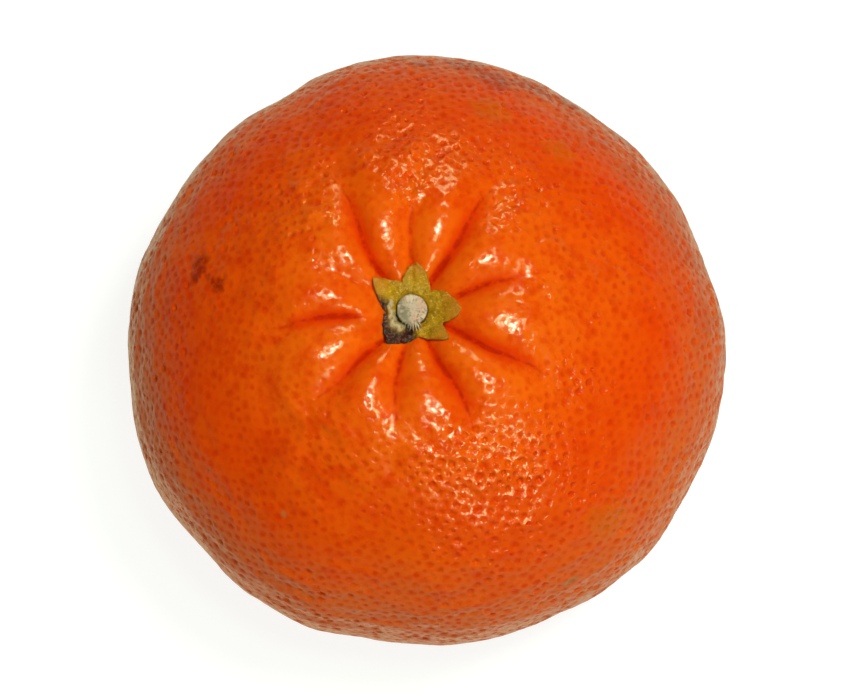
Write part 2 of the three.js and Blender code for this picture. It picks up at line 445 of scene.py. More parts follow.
# %% The furrows
CROWN_HOLLOW = (3.8, 4.8)  # depth, spread
NECK = (1.35, 10.8, 6.2)  # height, distance from the stem, spread
BASE_HOLLOW = (2.2, 4.0)  # depth, spread
# A furrow's redness sets the red of its valley and the painted shade in its crease.
FURROW_ROWS = [  # azimuth near the stem and far from it, start, end, depth, valley, softness, redness
    (16, 18, 4.5, 14, 1.2, 0.45, 0.14, 0.80),
    (57, 58, 3.5, 17, 1.3, 0.25, 0.26, 0.95),
    (91, 90, 4.0, 15, 1.1, 0.00, 0.16, 0.55),
    (130, 119, 4.0, 17, 1.3, 0.50, 0.28, 0.90),
    (156, 158, 6.0, 14, 0.5, 0.00, 0.30, 0.35),
    (188, 186, 6.0, 16, 1.3, 0.10, 0.14, 1.00),
    (227, 221, 4.5, 16, 1.5, 0.50, 0.24, 0.80),
    (258, 260, 4.0, 14, 1.2, 0.35, 0.32, 0.70),
    (297, 296, 4.0, 16, 1.2, 0.30, 0.26, 0.90),
    (333, 332, 4.0, 17, 1.4, 0.45, 0.14, 1.00),
]
FURROW_KEYS = ("near", "far", "start", "end", "depth", "valley", "soft", "red")
FURROWS = [dict(zip(FURROW_KEYS, row)) for row in FURROW_ROWS]
FURROW_WANDER = 1.5  # degrees
WANDER_PACE = 0.6  # radians of its wave in each millimetre
FURROW_BEGINS = (-2.5, 1.5)  # distances from its start
FURROW_FADES = (0.5, 1.15)  # shares of its end
LOBE_ROUNDNESS = 0.65  # 1 makes lobes like waves, and less makes them rounder with sharper creases
VALLEY_BEGINS = (0.4, 1.1)  # polar angles
VALLEY_ENDS = (1.8, 2.6)
CREASE_WIDTH = (0.36, 0.22)  # near the stem and further out
CREASE_NARROWS = (5.0, 13.0)  # distances between which it does


def furrow_direction(furrow, distance):
    """Where a furrow runs at a distance from the stem, in degrees."""
    straight = mix(furrow["near"], furrow["far"], between(furrow["start"], furrow["end"], distance))
    return straight + FURROW_WANDER * np.sin(WANDER_PACE * distance + furrow["near"])


def furrow_along(furrow, distance):
    """How fully a furrow is formed at a distance from the stem."""
    start, end = furrow["start"], furrow["end"]
    begins = between(start + FURROW_BEGINS[0], start + FURROW_BEGINS[1], distance)
    fades = 1.0 - between(end * FURROW_FADES[0], end * FURROW_FADES[1], distance)
    return begins * fades


def lobe_bulge(share, softness):
    """The height of a lobe's section, from 0 in the crease beside it to 1 on its crest."""
    bottom = softness**LOBE_ROUNDNESS
    top = np.hypot(1.0, softness) ** LOBE_ROUNDNESS
    rounded = np.hypot(np.sin(np.pi * share), softness) ** LOBE_ROUNDNESS
    return (rounded - bottom) / (top - bottom)


def beside_furrows(distance, azimuth, kind):
    """A value of the furrows, such as their depth, full in a crease and fading to 0 on the lobes."""
    total = np.zeros_like(distance)
    for here, following in zip(FURROWS, FURROWS[1:] + FURROWS[:1]):
        start = furrow_direction(here, distance)
        width = (furrow_direction(following, distance) - start) % 360.0
        share = ((azimuth - start) % 360.0) / width
        over = between(0.0, 1.0, share)
        bulge = lobe_bulge(share, mix(here["soft"], following["soft"], over))
        value_here = here[kind] * furrow_along(here, distance)
        value_following = following[kind] * furrow_along(following, distance)
        total += np.where(share < 1.0, mix(value_here, value_following, over) * (1.0 - bulge), 0.0)
    return total


def crease_line(distance, azimuth):
    """The thin dark line at the bottom of each furrow, which the finish paints as shade in the crease."""
    line = np.zeros_like(distance)
    width = mix(*CREASE_WIDTH, between(*CREASE_NARROWS, distance))
    for furrow in FURROWS:
        aside = distance * np.radians(turn_between(furrow_direction(furrow, distance), azimuth))
        line = np.maximum(line, furrow["red"] * furrow_along(furrow, distance) * bell(aside, width))
    return line


def valley_depth(furrow, polar, azimuth):
    """The broad valley in which a furrow goes on down the side."""
    down = between(*VALLEY_BEGINS, polar) * (1.0 - between(*VALLEY_ENDS, polar))
    return furrow["valley"] * down * bell(turn_between(furrow["far"], azimuth), BULGE_SPREAD)


print("furrows:", len(FURROWS), "deepest", max(furrow["depth"] for furrow in FURROWS), "mm")

# %% The whole skin, before its pits and wrinkles


def crown_depth(distance, azimuth, pressed):
    """How far the crown's own shapes lower the skin below the smooth body."""
    depth = CROWN_HOLLOW[0] * bell(distance, CROWN_HOLLOW[1])
    depth -= NECK[0] * bell(distance - NECK[1], NECK[2])
    return depth + pressed * beside_furrows(distance, azimuth, "depth")


def skin_point(polar, azimuth, lift=0.0, pressed=1.0):
    """Places on the skin, or lifted above it. The furrows are filled up if pressed is 0."""
    radius = body_radius(polar, azimuth)
    distance = radius * np.sin(polar)
    upper = polar < np.pi / 2
    radius = radius + swell_height(polar, azimuth)
    radius = radius - np.where(upper, crown_depth(distance, azimuth, pressed), 0.0)
    radius = radius - np.where(upper, 0.0, BASE_HOLLOW[0] * bell(distance, BASE_HOLLOW[1]))
    for furrow in FURROWS:
        radius = radius - valley_depth(furrow, polar, azimuth)
    place = direction_of(polar, azimuth) * (radius + lift)[..., None]
    leaning = np.maximum(np.cos(polar), 0.0) ** 2
    place[..., 0] += AXIS_PLACE[0] + STEM_LEAN[0] * leaning
    place[..., 1] += AXIS_PLACE[1] + STEM_LEAN[1] * leaning
    place[..., 2] = np.maximum(place[..., 2] + WIDEST_LEVEL, 0.0)
    return place


def polar_at(distance):
    """The polar angle at a distance from the stem, near the crown."""
    return np.arcsin(distance / CROWN_HEIGHT)


crown = skin_point(np.array([0.0]), np.array([0.0]))
print("the skin under the stem:", crown[0].round(2))

# %% [markdown]
# ## Oil glands
#
# The peel is packed with oil glands: round, mixed in size, each keeping its distance from the next.
# Scattered at random they would clump, and on a grid they would look printed. So they start on a
# spiral, are shaken, and then push each other apart, the large ones harder than the small ones.

# %% Helpers for places on the body


def angles_of(places):
    """The polar angle and the azimuth in degrees of places seen from the heart of the fruit."""
    across = np.hypot(places[..., 0], places[..., 1])
    return np.arctan2(across, places[..., 2]), np.degrees(np.arctan2(places[..., 1], places[..., 0]))


def on_body(places):
    """Moves places in or out onto the smooth body."""
    polar, azimuth = angles_of(places)
    return direction_of(polar, azimuth) * body_radius(polar, azimuth)[..., None]


def triangles_round_body(places):
    """Joins places on the body by well-shaped triangles, all round but for the very crown.

    The places are projected from the crown onto a plane, which turns circles into circles, so the
    best triangles in the plane are also the best ones on the body.
    """
    unit = places / np.linalg.norm(places, axis=1)[:, None]
    flat = unit[:, :2] / (1.0 - unit[:, 2:3])
    points = [Vector((float(x), float(y))) for x, y in flat]
    faces = delaunay_2d_cdt(points, [], [], 0, 0.0, False)[2]
    return np.array(faces)


def sides_of(triangles):
    """The three sides of every triangle, as pairs of corners."""
    return np.concatenate([triangles[:, [0, 1]], triangles[:, [1, 2]], triangles[:, [2, 0]]])


def edges_of(triangles):
    """Each edge once, as a pair of corners."""
    return np.unique(np.sort(sides_of(triangles), axis=1), axis=0)


print("back of the body:", on_body(np.array([[0.0, 1.0, 0.0]]))[0].round(2))

# %% Glands spread over the body
GLAND_COUNT = 9800
GLAND_SHAKE = 0.35  # of the mean spacing
GLAND_SIZES = (0.62, 1.3)  # of the smallest and of the largest, against the usual one
GLAND_PUSHES = 5
PUSH_REACH = 3.0  # glands further apart than this many sizes leave each other alone
PUSH_STRENGTH = 0.3
PUSH_CARE = 0.5  # how much of the summed pushes a gland follows
GOLDEN_TURN = 180.0 * (3.0 - math.sqrt(5.0))
GLAND_SEED = 11

rng = np.random.default_rng(GLAND_SEED)


def spiral_places(count):
    """Evenly spread directions on a spiral from crown to base."""
    step = np.arange(count) + 0.5
    polar = np.arccos(1.0 - 2.0 * step / count)
    return direction_of(polar, step * GOLDEN_TURN)


def push_apart(places, sizes):
    """Lets neighbours push each other to distances that suit their sizes."""
    pairs = edges_of(triangles_round_body(places))
    first, second = pairs[:, 0], pairs[:, 1]
    apart = places[second] - places[first]
    length = np.linalg.norm(apart, axis=1)
    wanted = sizes[first] + sizes[second]
    near = length < PUSH_REACH * wanted
    scale = np.median(length[near] / wanted[near])
    push = np.where(near, PUSH_STRENGTH * (wanted * scale - length) / length, 0.0)[:, None] * apart
    moves = np.zeros_like(places)
    np.add.at(moves, first, -push)
    np.add.at(moves, second, push)
    return on_body(places + PUSH_CARE * moves)


def spread_glands():
    """The glands' places on the smooth body and their relative sizes."""
    places = on_body(spiral_places(GLAND_COUNT))
    shake = GLAND_SHAKE * math.sqrt(4.0 * math.pi / GLAND_COUNT) * SIDE_RADIUS
    places = on_body(places + rng.uniform(-shake, shake, places.shape))
    sizes = rng.uniform(*GLAND_SIZES, GLAND_COUNT)
    for _ in range(GLAND_PUSHES):
        places = push_apart(places, sizes)
    return places, sizes


gland_places, gland_sizes = spread_glands()
gland_triangles = triangles_round_body(gland_places)
gland_pairs = edges_of(gland_triangles)
gland_gaps = np.linalg.norm(gland_places[gland_pairs[:, 0]] - gland_places[gland_pairs[:, 1]], axis=1)
gland_spacing = float(np.median(gland_gaps))
print("glands:", GLAND_COUNT, "median spacing", round(gland_spacing, 2), "mm")

# %% [markdown]
# ## Where the skin's vertices go
#
# A pit could be a texture on a smooth ball, but then the outline and the shadows would stay
# smooth. So each gland gets real geometry: a vertex at its bottom, a ring of vertices on its wall
# if it is large, and vertices on the net of skin between it and its neighbours. Extra vertices
# follow the furrows, whose creases are finer than the glands.

# %% Vertices in the pits and on the net between them
PIT_SHARE = 0.75  # of the room between glands that their pits take
RING_SIDES = 6
RING_PLACE = 0.55  # of the pit's radius
RING_COUNT = 5400  # of the largest glands that get a ring
SIDEWAYS_HINT = (0.3, 0.2, 1.0)  # any direction that isn't exactly a gland's own

gland_radius = PIT_SHARE * gland_sizes * gland_spacing / (2.0 * float(np.mean(gland_sizes)))


def tangents_at(places):
    """Two directions along the body at each place."""
    outward = places / np.linalg.norm(places, axis=1)[:, None]
    aside = np.cross(outward, SIDEWAYS_HINT)
    aside /= np.linalg.norm(aside, axis=1)[:, None]
    return aside, np.cross(outward, aside)


def ring_places(chosen):
    """A ring of places on the wall of each chosen gland."""
    first, second = tangents_at(gland_places[chosen])
    start = rng.uniform(0.0, 2.0 * np.pi, len(chosen))
    rings = []
    for step in range(RING_SIDES):
        turn = (start + 2.0 * np.pi * step / RING_SIDES)[:, None]
        offset = np.cos(turn) * first + np.sin(turn) * second
        rings.append(gland_places[chosen] + offset * (RING_PLACE * gland_radius[chosen])[:, None])
    return on_body(np.concatenate(rings))


def net_places():
    """Places on the net between glands: where three cells meet and where two do."""
    corners = gland_places[gland_triangles].mean(axis=1)
    share = (gland_sizes[gland_pairs[:, 0]] / gland_sizes[gland_pairs].sum(axis=1))[:, None]
    middles = mix(gland_places[gland_pairs[:, 0]], gland_places[gland_pairs[:, 1]], share)
    return on_body(np.concatenate([corners, middles]))


ringed = np.argsort(-gland_sizes)[:RING_COUNT]
pit_places = [gland_places, ring_places(ringed), net_places()]
print("vertices in pits, on rings and on the net:", [len(places) for places in pit_places])

# %% Vertices along the furrows, and the triangles
CREASE_STEP = 0.4
CREASE_LEAD = 1.5  # how far before its start a furrow's rows begin
CREASE_OFFSETS = (-0.75, -0.42, -0.18, 0.0, 0.18, 0.42, 0.75)


def crease_places():
    """Rows of places along every furrow and close beside it."""
    rows = []
    for furrow in FURROWS:
        distance = np.arange(furrow["start"] - CREASE_LEAD, furrow["end"], CREASE_STEP)
        for offset in CREASE_OFFSETS:
            azimuth = furrow_direction(furrow, distance) + np.degrees(offset / distance)
            rows.append(on_body(direction_of(polar_at(distance), azimuth)))
    return np.concatenate(rows)


skin_places = np.concatenate(pit_places + [crease_places()])
on_rings = slice(GLAND_COUNT, GLAND_COUNT + RING_SIDES * RING_COUNT)
skin_owner = np.full(len(skin_places), -1)  # the gland that a vertex belongs to, or -1
skin_owner[:GLAND_COUNT] = np.arange(GLAND_COUNT)
skin_owner[on_rings] = np.tile(ringed, RING_SIDES)
skin_faces = triangles_round_body(skin_places)
print("skin:", len(skin_places), "vertices,", len(skin_faces), "triangles")

# %% [markdown]
# ## Relief of the skin
#
# The real peel isn't equally rough everywhere. By the stem the lobes are nearly smooth. Where the
# furrows run out, the skin is puckered into small wrinkles. Lower down it is lumpy with clear pits,
# and near the widest level shallow ripples run round it. A displacement texture could do each of
# these, but here the relief is worked out once for every vertex, as a height above the body, so
# that the finish can use the same numbers later.

# %% Measures of every vertex
skin_polar, skin_azimuth = angles_of(skin_places)
skin_distance = body_radius(skin_polar, skin_azimuth) * np.sin(skin_polar)
upper_side = skin_polar < np.pi / 2
# On the lower side the distance from the stem goes on growing, all the way to the base.
stem_distance = np.where(upper_side, skin_distance, 2.0 * SIDE_RADIUS - skin_distance)
# How red the furrows make each place: partly the peel's own redder colour, partly painted shade.
in_furrow = np.where(upper_side, beside_furrows(skin_distance, skin_azimuth, "red"), 0.0)


def rough(places, size):
    """Noise from -1 to 1 at places in millimetres, with lumps of a size."""
    return np.array([noise.noise(Vector(place)) for place in (places / size).tolist()])


def uneven(places, size, cut, span):
    """A factor that changes between the ends of a span where the noise passes through the cut."""
    return mix(*span, between(*cut, rough(places, size)))


def on_tube(azimuth, radius, height):
    """Places on an upright tube, where noise can be stretched along the tube or round it."""
    turn = np.radians(azimuth)
    return np.stack([radius * np.cos(turn), radius * np.sin(turn), height], axis=1)


print("farthest from the stem:", round(float(stem_distance.max()), 1), "mm")

# %% Small lumps
LUMP_HEIGHT = 0.2
LUMP_SIZES = ((3.2, 1.0), (1.6, 0.45))  # size, share of the height
LUMPS_GROW = (8.0, 14.0)  # distances from the stem between which the lumps grow
LUMPS_FADE = (17.0, 26.0)  # and fade again
NEAR_STEM_LUMPS = 0.4
FADED_LUMPS = 0.6  # share of the height that is lost far out
FRONT_PATCH = (294.0, 20.0, 21.0, 5.0)  # azimuth and its spread, distance and its spread
FRONT_LUMPS = 1.2
LUMP_PATCHES = (11.0, (-0.25, 0.3), (0.4, 1.3))  # size, cut through the noise, factors on its sides


def on_side(side, azimuth):
    """1 in the middle of one side of the fruit, fading to 0 round it."""
    middle, spread = side
    return bell(turn_between(middle, azimuth), spread)


def on_patch(patch, distance, azimuth):
    """1 in the middle of a patch of skin, fading to 0 round it."""
    middle, spread, out, width = patch
    return on_side((middle, spread), azimuth) * bell(distance - out, width)


def lump_height(places, distance, azimuth):
    """Small lumps, strongest where the lobes run out into the shoulder and on the front patch."""
    height = np.zeros(len(places))
    for size, share in LUMP_SIZES:
        height += share * rough(places, size)
    shoulder = mix(NEAR_STEM_LUMPS, 1.0, between(*LUMPS_GROW, distance))
    shoulder = shoulder * (1.0 - FADED_LUMPS * between(*LUMPS_FADE, distance))
    shoulder = shoulder * uneven(places, *LUMP_PATCHES)
    front = FRONT_LUMPS * on_patch(FRONT_PATCH, distance, azimuth)
    return LUMP_HEIGHT * height * np.maximum(shoulder, front)


lumps = lump_height(skin_places, stem_distance, skin_azimuth)
print("lumps up to", round(float(lumps.max()), 2), "mm")

# %% Wrinkles where the furrows run out
WRINKLE_HEIGHT = 0.56
WRINKLE_RADIUS = 13.0  # where a wrinkle is as wide as it is said to be
WRINKLE_SIZE = (2.4, 1.7)  # outward and round the stem
WRINKLE_BEND = (0.35, 2.2)  # how far they wander, in wrinkles, and over what size
SMALL_FOLDS = (0.4, 0.5)  # their height and size, against the larger ones
SMALL_FOLDS_PLACE = 9.0  # keeps them out of step with the larger ones
WRINKLE_LEVEL = 0.35  # the height in a fold that lies level with the skin
WRINKLES_BEGIN = (8.5, 12.5)  # distances from the stem
WRINKLES_END = (16.5, 22.5)
WRINKLED_EVERYWHERE = 0.2
WRINKLED_SIDES = [  # azimuth, spread, strength
    (46.0, 20.0, 1.0),
    (90.0, 16.0, 1.2),
    (138.0, 16.0, 0.9),
    (5.0, 14.0, 0.8),
    (338.0, 12.0, 0.8),
    (290.0, 16.0, 0.9),
    (230.0, 14.0, 0.5),
]


def wrinkle_folds(places, distance, azimuth):
    """Puffy little folds: 0 in the creases between them, and up to about 0.7 on top of them."""
    folded = on_tube(azimuth, WRINKLE_RADIUS / WRINKLE_SIZE[1], distance / WRINKLE_SIZE[0])
    wander, size = WRINKLE_BEND
    folded += wander * rough(places, size)[:, None]
    small_height, small_size = SMALL_FOLDS
    small = small_height * np.abs(rough(folded + SMALL_FOLDS_PLACE, small_size))
    return np.abs(rough(folded, 1.0)) + small


def wrinkle_strength(distance, azimuth):
    """The skin is wrinkled where the furrows run out into the shoulder."""
    strength = np.full_like(distance, WRINKLED_EVERYWHERE)
    for middle, spread, side_strength in WRINKLED_SIDES:
        strength = np.maximum(strength, side_strength * on_side((middle, spread), azimuth))
    return strength * between(*WRINKLES_BEGIN, distance) * (1.0 - between(*WRINKLES_END, distance))


folds = wrinkle_folds(skin_places, stem_distance, skin_azimuth)
wrinkled = wrinkle_strength(stem_distance, skin_azimuth)
lumps += WRINKLE_HEIGHT * (folds - WRINKLE_LEVEL) * wrinkled
print("with wrinkles up to", round(float(lumps.max()), 2), "mm")

# %% Ripples low on the sides
RIPPLE_HEIGHT = 0.2
RIPPLE_RADIUS = 30.0  # where a ripple is as wide as it is said to be
RIPPLE_SIZE = (1.8, 4.5)  # up the side and round the stem
RIPPLES_BEGIN = (23.0, 29.0)  # distances from the stem


def ripple_height(polar, azimuth, distance):
    """Shallow ripples that run round the fruit, low on its sides."""
    up_the_side = polar * RIPPLE_RADIUS / RIPPLE_SIZE[0]
    stretched = on_tube(azimuth, RIPPLE_RADIUS / RIPPLE_SIZE[1], up_the_side)
    return RIPPLE_HEIGHT * rough(stretched, 1.0) * between(*RIPPLES_BEGIN, distance)


ripples = ripple_height(skin_polar, skin_azimuth, stem_distance)
lumps += ripples
print("ripples up to", round(float(ripples.max()), 2), "mm")

# %% [markdown]
# ## How deep the pits are
#
# Each pit is a round dish over one gland, and larger glands lie deeper. The pits fade away in the
# furrows and on the lobes, vary in patches, and are deepest on the front patch and in the wrinkles.
# They could be painted by hand as a mask. Here one number for every vertex gathers all this: how
# deep a pit is there, against the usual depth of its size.

# %% How deep pits are against their usual depth
CALM_LEFT = (205.0, 40.0, 19.0, 8.0)  # azimuth and its spread, distance and its spread
CALM_FRONT = (275.0, 50.0, 28.0, 5.0)
PIT_GAINS = ((FRONT_PATCH, 1.2), (CALM_LEFT, -0.75), (CALM_FRONT, -0.5))
STEM_PITS = 0.25  # on the lobes by the stem
PITS_GROW = (8.0, 19.0)  # distances from the stem
PITS_CLOSE = (0.35, 0.9)  # redness of a furrow between which its pits close
WRINKLED_PITS = 0.7  # how much deeper they are in full wrinkles
PIT_PATCHES = (  # size, cut through the noise, factors on its sides
    (3.5, (-0.3, 0.35), (0.45, 1.15)),
    (1.6, (-0.25, 0.25), (0.5, 1.25)),
)
THINNED_LEFT = (190.0, 60.0)  # azimuth and spread of the side where pits are missing here and there
THINNING_BEGINS = (22.0, 27.0)  # distances from the stem
THINNING = 0.7  # the most that a patch of pits there loses
THINNED_PATCHES = (1.8, (-0.1, 0.3), (0.0, 1.0))
THINNED_PLACE = 40.0  # keeps them out of step with the other patches


def pit_strength(distance, azimuth):
    """Pits are faint on the lobes by the stem, and deepest low on the front right."""
    gain = 1.0
    for patch, change in PIT_GAINS:
        gain = gain + change * on_patch(patch, distance, azimuth)
    return mix(STEM_PITS, 1.0, between(*PITS_GROW, distance)) * gain


def share_of_pits():
    """How deep a pit is at every vertex, against the usual depth of its size."""
    share = pit_strength(stem_distance, skin_azimuth) * (1.0 - between(*PITS_CLOSE, in_furrow))
    share *= 1.0 + WRINKLED_PITS * wrinkled
    for patches in PIT_PATCHES:
        share *= uneven(skin_places, *patches)
    thinned = on_side(THINNED_LEFT, skin_azimuth) * between(*THINNING_BEGINS, stem_distance)
    kept = uneven(skin_places + THINNED_PLACE, *THINNED_PATCHES)
    return share * mix(1.0, kept, THINNING * thinned)


pit_share = share_of_pits()
print("pits against their usual depth: up to", round(float(pit_share.max()), 2))

# %% The skin's final places
PIT_DEPTH = 0.13  # the usual one over a gland of size 1
PIT_UNEVENNESS = (1.3, 4.5)  # near the stem and far out: more makes the large pits stand out more
UNEVENNESS_GROWS = (19.0, 28.0)  # distances from the stem


def pit_depth():
    """The depth of the pits at every vertex."""
    depth = np.zeros(len(skin_places))
    owned = skin_owner >= 0
    unevenness = mix(*PIT_UNEVENNESS, between(*UNEVENNESS_GROWS, stem_distance[owned]))
    depth[owned] = PIT_DEPTH * gland_sizes[skin_owner[owned]] ** unevenness
    depth[on_rings] *= (1.0 - RING_PLACE**2) ** 2
    return depth * pit_share


pit = pit_depth()
skin_vertices = skin_point(skin_polar, skin_azimuth, lumps - pit)
print("deepest pit:", round(float(pit.max()), 2), "mm")

# %% [markdown]
# ## The skin as a mesh object
#
# The triangles are already known, so the mesh is made straight from its lists of vertices and
# faces. Each piece rides on the fruit's one body and replaces its plain solid. What the finish has
# to know later is stored on the mesh as attributes: numbers that belong to a vertex or a face, much
# as a painter would pencil notes on a model.

# %% Small helpers that make a mesh object


def closed_at_crown(faces, count):
    """Adds a fan of triangles round the hole that the projection leaves at the crown."""
    known = {(int(a), int(b)) for a, b in sides_of(faces)}
    fan = [(b, a, count) for a, b in known if (b, a) not in known]
    return np.concatenate([faces, np.array(fan)])


def volume_inside(vertices, faces):
    """The volume that a closed mesh holds, below 0 if its faces look inward."""
    corners = vertices[faces] - vertices.mean(axis=0)
    sixfold = 0.0
    for corner in range(1, faces.shape[1] - 1):
        across = np.cross(corners[:, corner], corners[:, corner + 1])
        sixfold += float(np.einsum("ij,ij->i", corners[:, 0], across).sum())
    return sixfold / 6.0


def facing_out(vertices, faces):
    """The faces, turned over if they look inward."""
    return faces if volume_inside(vertices, faces) > 0 else faces[:, ::-1]


def make_piece(name, vertices, faces, node):
    """A smooth-shaded mesh object, from millimetres, that stands for a plain solid."""
    mesh = bpy.data.meshes.new(name)
    mesh.from_pydata(np.asarray(vertices) * MM, [], faces)
    mesh.shade_smooth()
    piece = bpy.data.objects.new(name, mesh)
    bpy.context.scene.collection.objects.link(piece)
    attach(piece, "root")
    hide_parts(node)
    print(name + ":", len(mesh.vertices), "vertices,", len(mesh.polygons), "faces")
    return piece


def add_attribute(piece, name, values, domain="POINT"):
    """Stores one number or one vector for every point or face of a piece."""
    values = np.asarray(values, dtype=np.float32)
    kind, field = ("FLOAT_VECTOR", "vector") if values.ndim == 2 else ("FLOAT", "value")
    attribute = piece.data.attributes.new(name, kind, domain)
    attribute.data.foreach_set(field, values.ravel())


# %% The skin as an object
all_vertices = np.concatenate([skin_vertices, crown])
all_faces = facing_out(all_vertices, closed_at_crown(skin_faces, len(skin_vertices)))
skin = make_piece("peel_skin", all_vertices, all_faces.tolist(), "fruit")
print("volume:", round(volume_inside(all_vertices, all_faces) / 1000.0, 1), "cm3")

# %% Which gland each face of the skin lies in
NOWHERE = 1000.0  # the middle of no gland at all, far from the fruit
SPOT_TONES = (0.1, 0.7)  # how red the glands' spots are
STEM_TONE = 0.45  # the share of that by the stem
TONES_GROW = (8.0, 18.0)  # distances from the stem


def face_glands():
    """For each face the gland whose pit it lies in, or -1."""
    owner = np.append(skin_owner, -1)[all_faces]
    middle = all_vertices[all_faces].mean(axis=1)
    best = np.full(len(all_faces), -1)
    best_reach = np.full(len(all_faces), np.inf)
    for corner in range(3):
        gland = owner[:, corner]
        reach = np.linalg.norm(middle - skin_vertices[gland], axis=1) / gland_radius[gland]
        better = (gland >= 0) & (reach < best_reach)
        best = np.where(better, gland, best)
        best_reach = np.where(better, reach, best_reach)
    return best


face_gland = face_glands()
has_gland = face_gland >= 0
gland_centre = np.where(has_gland[:, None], skin_vertices[face_gland], NOWHERE) * MM
gland_reach = np.where(has_gland, gland_radius[face_gland], 1.0) * MM
gland_tone = rng.uniform(*SPOT_TONES, GLAND_COUNT)
gland_tone *= mix(STEM_TONE, 1.0, between(*TONES_GROW, stem_distance[:GLAND_COUNT]))
add_attribute(skin, "gland_centre", gland_centre, "FACE")
add_attribute(skin, "gland_reach", gland_reach, "FACE")
add_attribute(skin, "gland_tone", gland_tone[face_gland], "FACE")
print("faces in a pit:", round(float(has_gland.mean()), 2))

# %% Where the skin is red, where shade and sheen are painted on its rim, and where it is glossy
# The right rim gets a darker, brownish-pink tint: painted shade with a painted sheen.
RIM_SHADE_SIDE = (38.0, 52.0)  # azimuth, spread
RIM_SHADE_BEGINS = (24.0, 31.0)  # distances from the stem
RIM_SHADE_ENDS = (35.0, 43.0)
FIERY_BEGINS = (11.0, 25.0)
LESS_FIERY_SIDE = (268.0, 42.0)  # azimuth, spread
LESS_FIERY = 0.55  # the share that is lost there
CREASE_DULLS = (0.2, 0.5)  # redness of a furrow
CREASE_LOSS = 0.95  # the share of the gloss that is lost in a crease
FOLD_SHINES = (0.0, 0.2)  # height of a fold
FOLD_LOSS = 0.8  # and between two folds

dull = between(*RIM_SHADE_BEGINS, stem_distance) * on_side(RIM_SHADE_SIDE, skin_azimuth)
dull *= 1.0 - between(*RIM_SHADE_ENDS, stem_distance)
fiery = between(*FIERY_BEGINS, stem_distance)
fiery *= 1.0 - LESS_FIERY * on_side(LESS_FIERY_SIDE, skin_azimuth)
crease_gloss = 1.0 - CREASE_LOSS * between(*CREASE_DULLS, in_furrow)
between_folds = (1.0 - between(*FOLD_SHINES, folds)) * np.minimum(wrinkled, 1.0)
fold_gloss = 1.0 - FOLD_LOSS * between_folds
# The furrow values and the crease lines tell the finish where to paint red and shade into the furrows.
SKIN_VALUES = {
    "furrow": in_furrow,
    "creased": np.where(upper_side, crease_line(skin_distance, skin_azimuth), 0.0),
    "pit_share": pit_share,
    "stem_distance": stem_distance,
    "dull": dull,
    "fiery": fiery,
    "gloss": crease_gloss * fold_gloss,
    "wrinkled": np.minimum(wrinkled, 1.0),
}
for value_name, vertex_values in SKIN_VALUES.items():
    add_attribute(skin, value_name, np.append(vertex_values, 0.0))
print("values on the skin:", list(SKIN_VALUES))

# %% [markdown]
# ## A flat map of the skin
#
# A program that can't read attributes needs the colours painted on a flat picture. A globe can't be
# laid flat without stretching. Two round maps, one for each half, stretch the skin least, and a
# projection that keeps areas true gives every gland the same room. The lower half is seldom seen,
# so its map is smaller.

# %% The two round maps
UPPER_DISC = ((0.36, 0.36), 0.35)  # middle and radius on the unit square
LOWER_DISC = ((0.77, 0.77), 0.22)
MAP_NAME = "OFBake"  # the export keeps a map of this name


def disc_place(polar, azimuth, disc):
    """Where a direction lands on a disc that keeps areas true, for the half round its pole."""
    middle, radius = disc
    out = radius * math.sqrt(2.0) * np.sin(polar / 2.0)
    turn = np.radians(azimuth)
    return np.stack([middle[0] + out * np.cos(turn), middle[1] + out * np.sin(turn)], axis=-1)


def add_skin_map():
    """Lays the upper and the lower half of the skin flat on two discs."""
    polar = np.append(skin_polar, 0.0)
    azimuth = np.append(skin_azimuth, 0.0)
    on_upper = disc_place(polar, azimuth, UPPER_DISC)[all_faces]
    on_lower = disc_place(np.pi - polar, -azimuth, LOWER_DISC)[all_faces]
    is_upper = polar[all_faces].mean(axis=1) < np.pi / 2
    places = np.where(is_upper[:, None, None], on_upper, on_lower)
    flat_map = skin.data.uv_layers.new(name=MAP_NAME)
    flat_map.data.foreach_set("uv", places.astype(np.float32).ravel())
    print("flat map:", round(float(places.min()), 3), "to", round(float(places.max()), 3))


add_skin_map()

# %% [markdown]
# ## Marks of growth
#
# No fruit is spotless. This one has a dark scar on its left shoulder, a few pale scratches, unripe
# tints, and a bruise on the far rim. They could be painted by hand with a brush. Here each mark is
# a few round dabs with a ragged edge, so that it can be moved by changing one number.

# %% Dabs of scar, scratch, unripe peel and bruise
MARKS = {  # polar angle, azimuth, radius
    "scar": [
        (0.877, 165.2, 1.15),
        (0.885, 168.5, 0.8),
        (0.845, 167.0, 0.35),
        (0.82, 168.6, 0.35),
        (0.795, 169.8, 0.45),
        (0.769, 170.8, 0.85),
    ],
    "scratch": [
        (1.275, 299.6, 0.55),
        (1.27, 300.8, 0.7),
        (1.262, 302.0, 0.5),
        (1.023, 214.0, 0.4),
        (0.921, 235.2, 0.35),
        (math.pi, 0.0, 1.1),  # the scar of the flower, in the middle of the base
    ],
    "unripe": [(0.88, 72.0, 2.4), (0.877, 51.2, 1.8), (1.09, 314.0, 2.4), (1.03, 312.0, 1.6)],
    "bruise": [
        (1.25, 59.0, 1.8),
        (1.17, 67.0, 2.4),
        (1.1, 74.0, 2.4),
        (1.18, 82.0, 2.4),
        (1.14, 90.0, 1.4),
    ],
}
MARK_RAGGED = (0.4, 0.9)  # how far its edge wanders, as a share of the radius, and over what size
MARK_EDGE = (0.5, 1.3)  # shares of the radius between which a mark fades


def mark_amount(dabs):
    """How fully each vertex lies in one of a mark's dabs."""
    amount = np.zeros(len(all_vertices))
    wander, size = MARK_RAGGED
    raggedness = wander * rough(all_vertices, size)
    for polar, azimuth, radius in dabs:
        middle = skin_point(np.array([polar]), np.array([azimuth]))
        reach = np.linalg.norm(all_vertices - middle, axis=1) / radius + raggedness
        amount = np.maximum(amount, 1.0 - between(*MARK_EDGE, reach))
    return amount


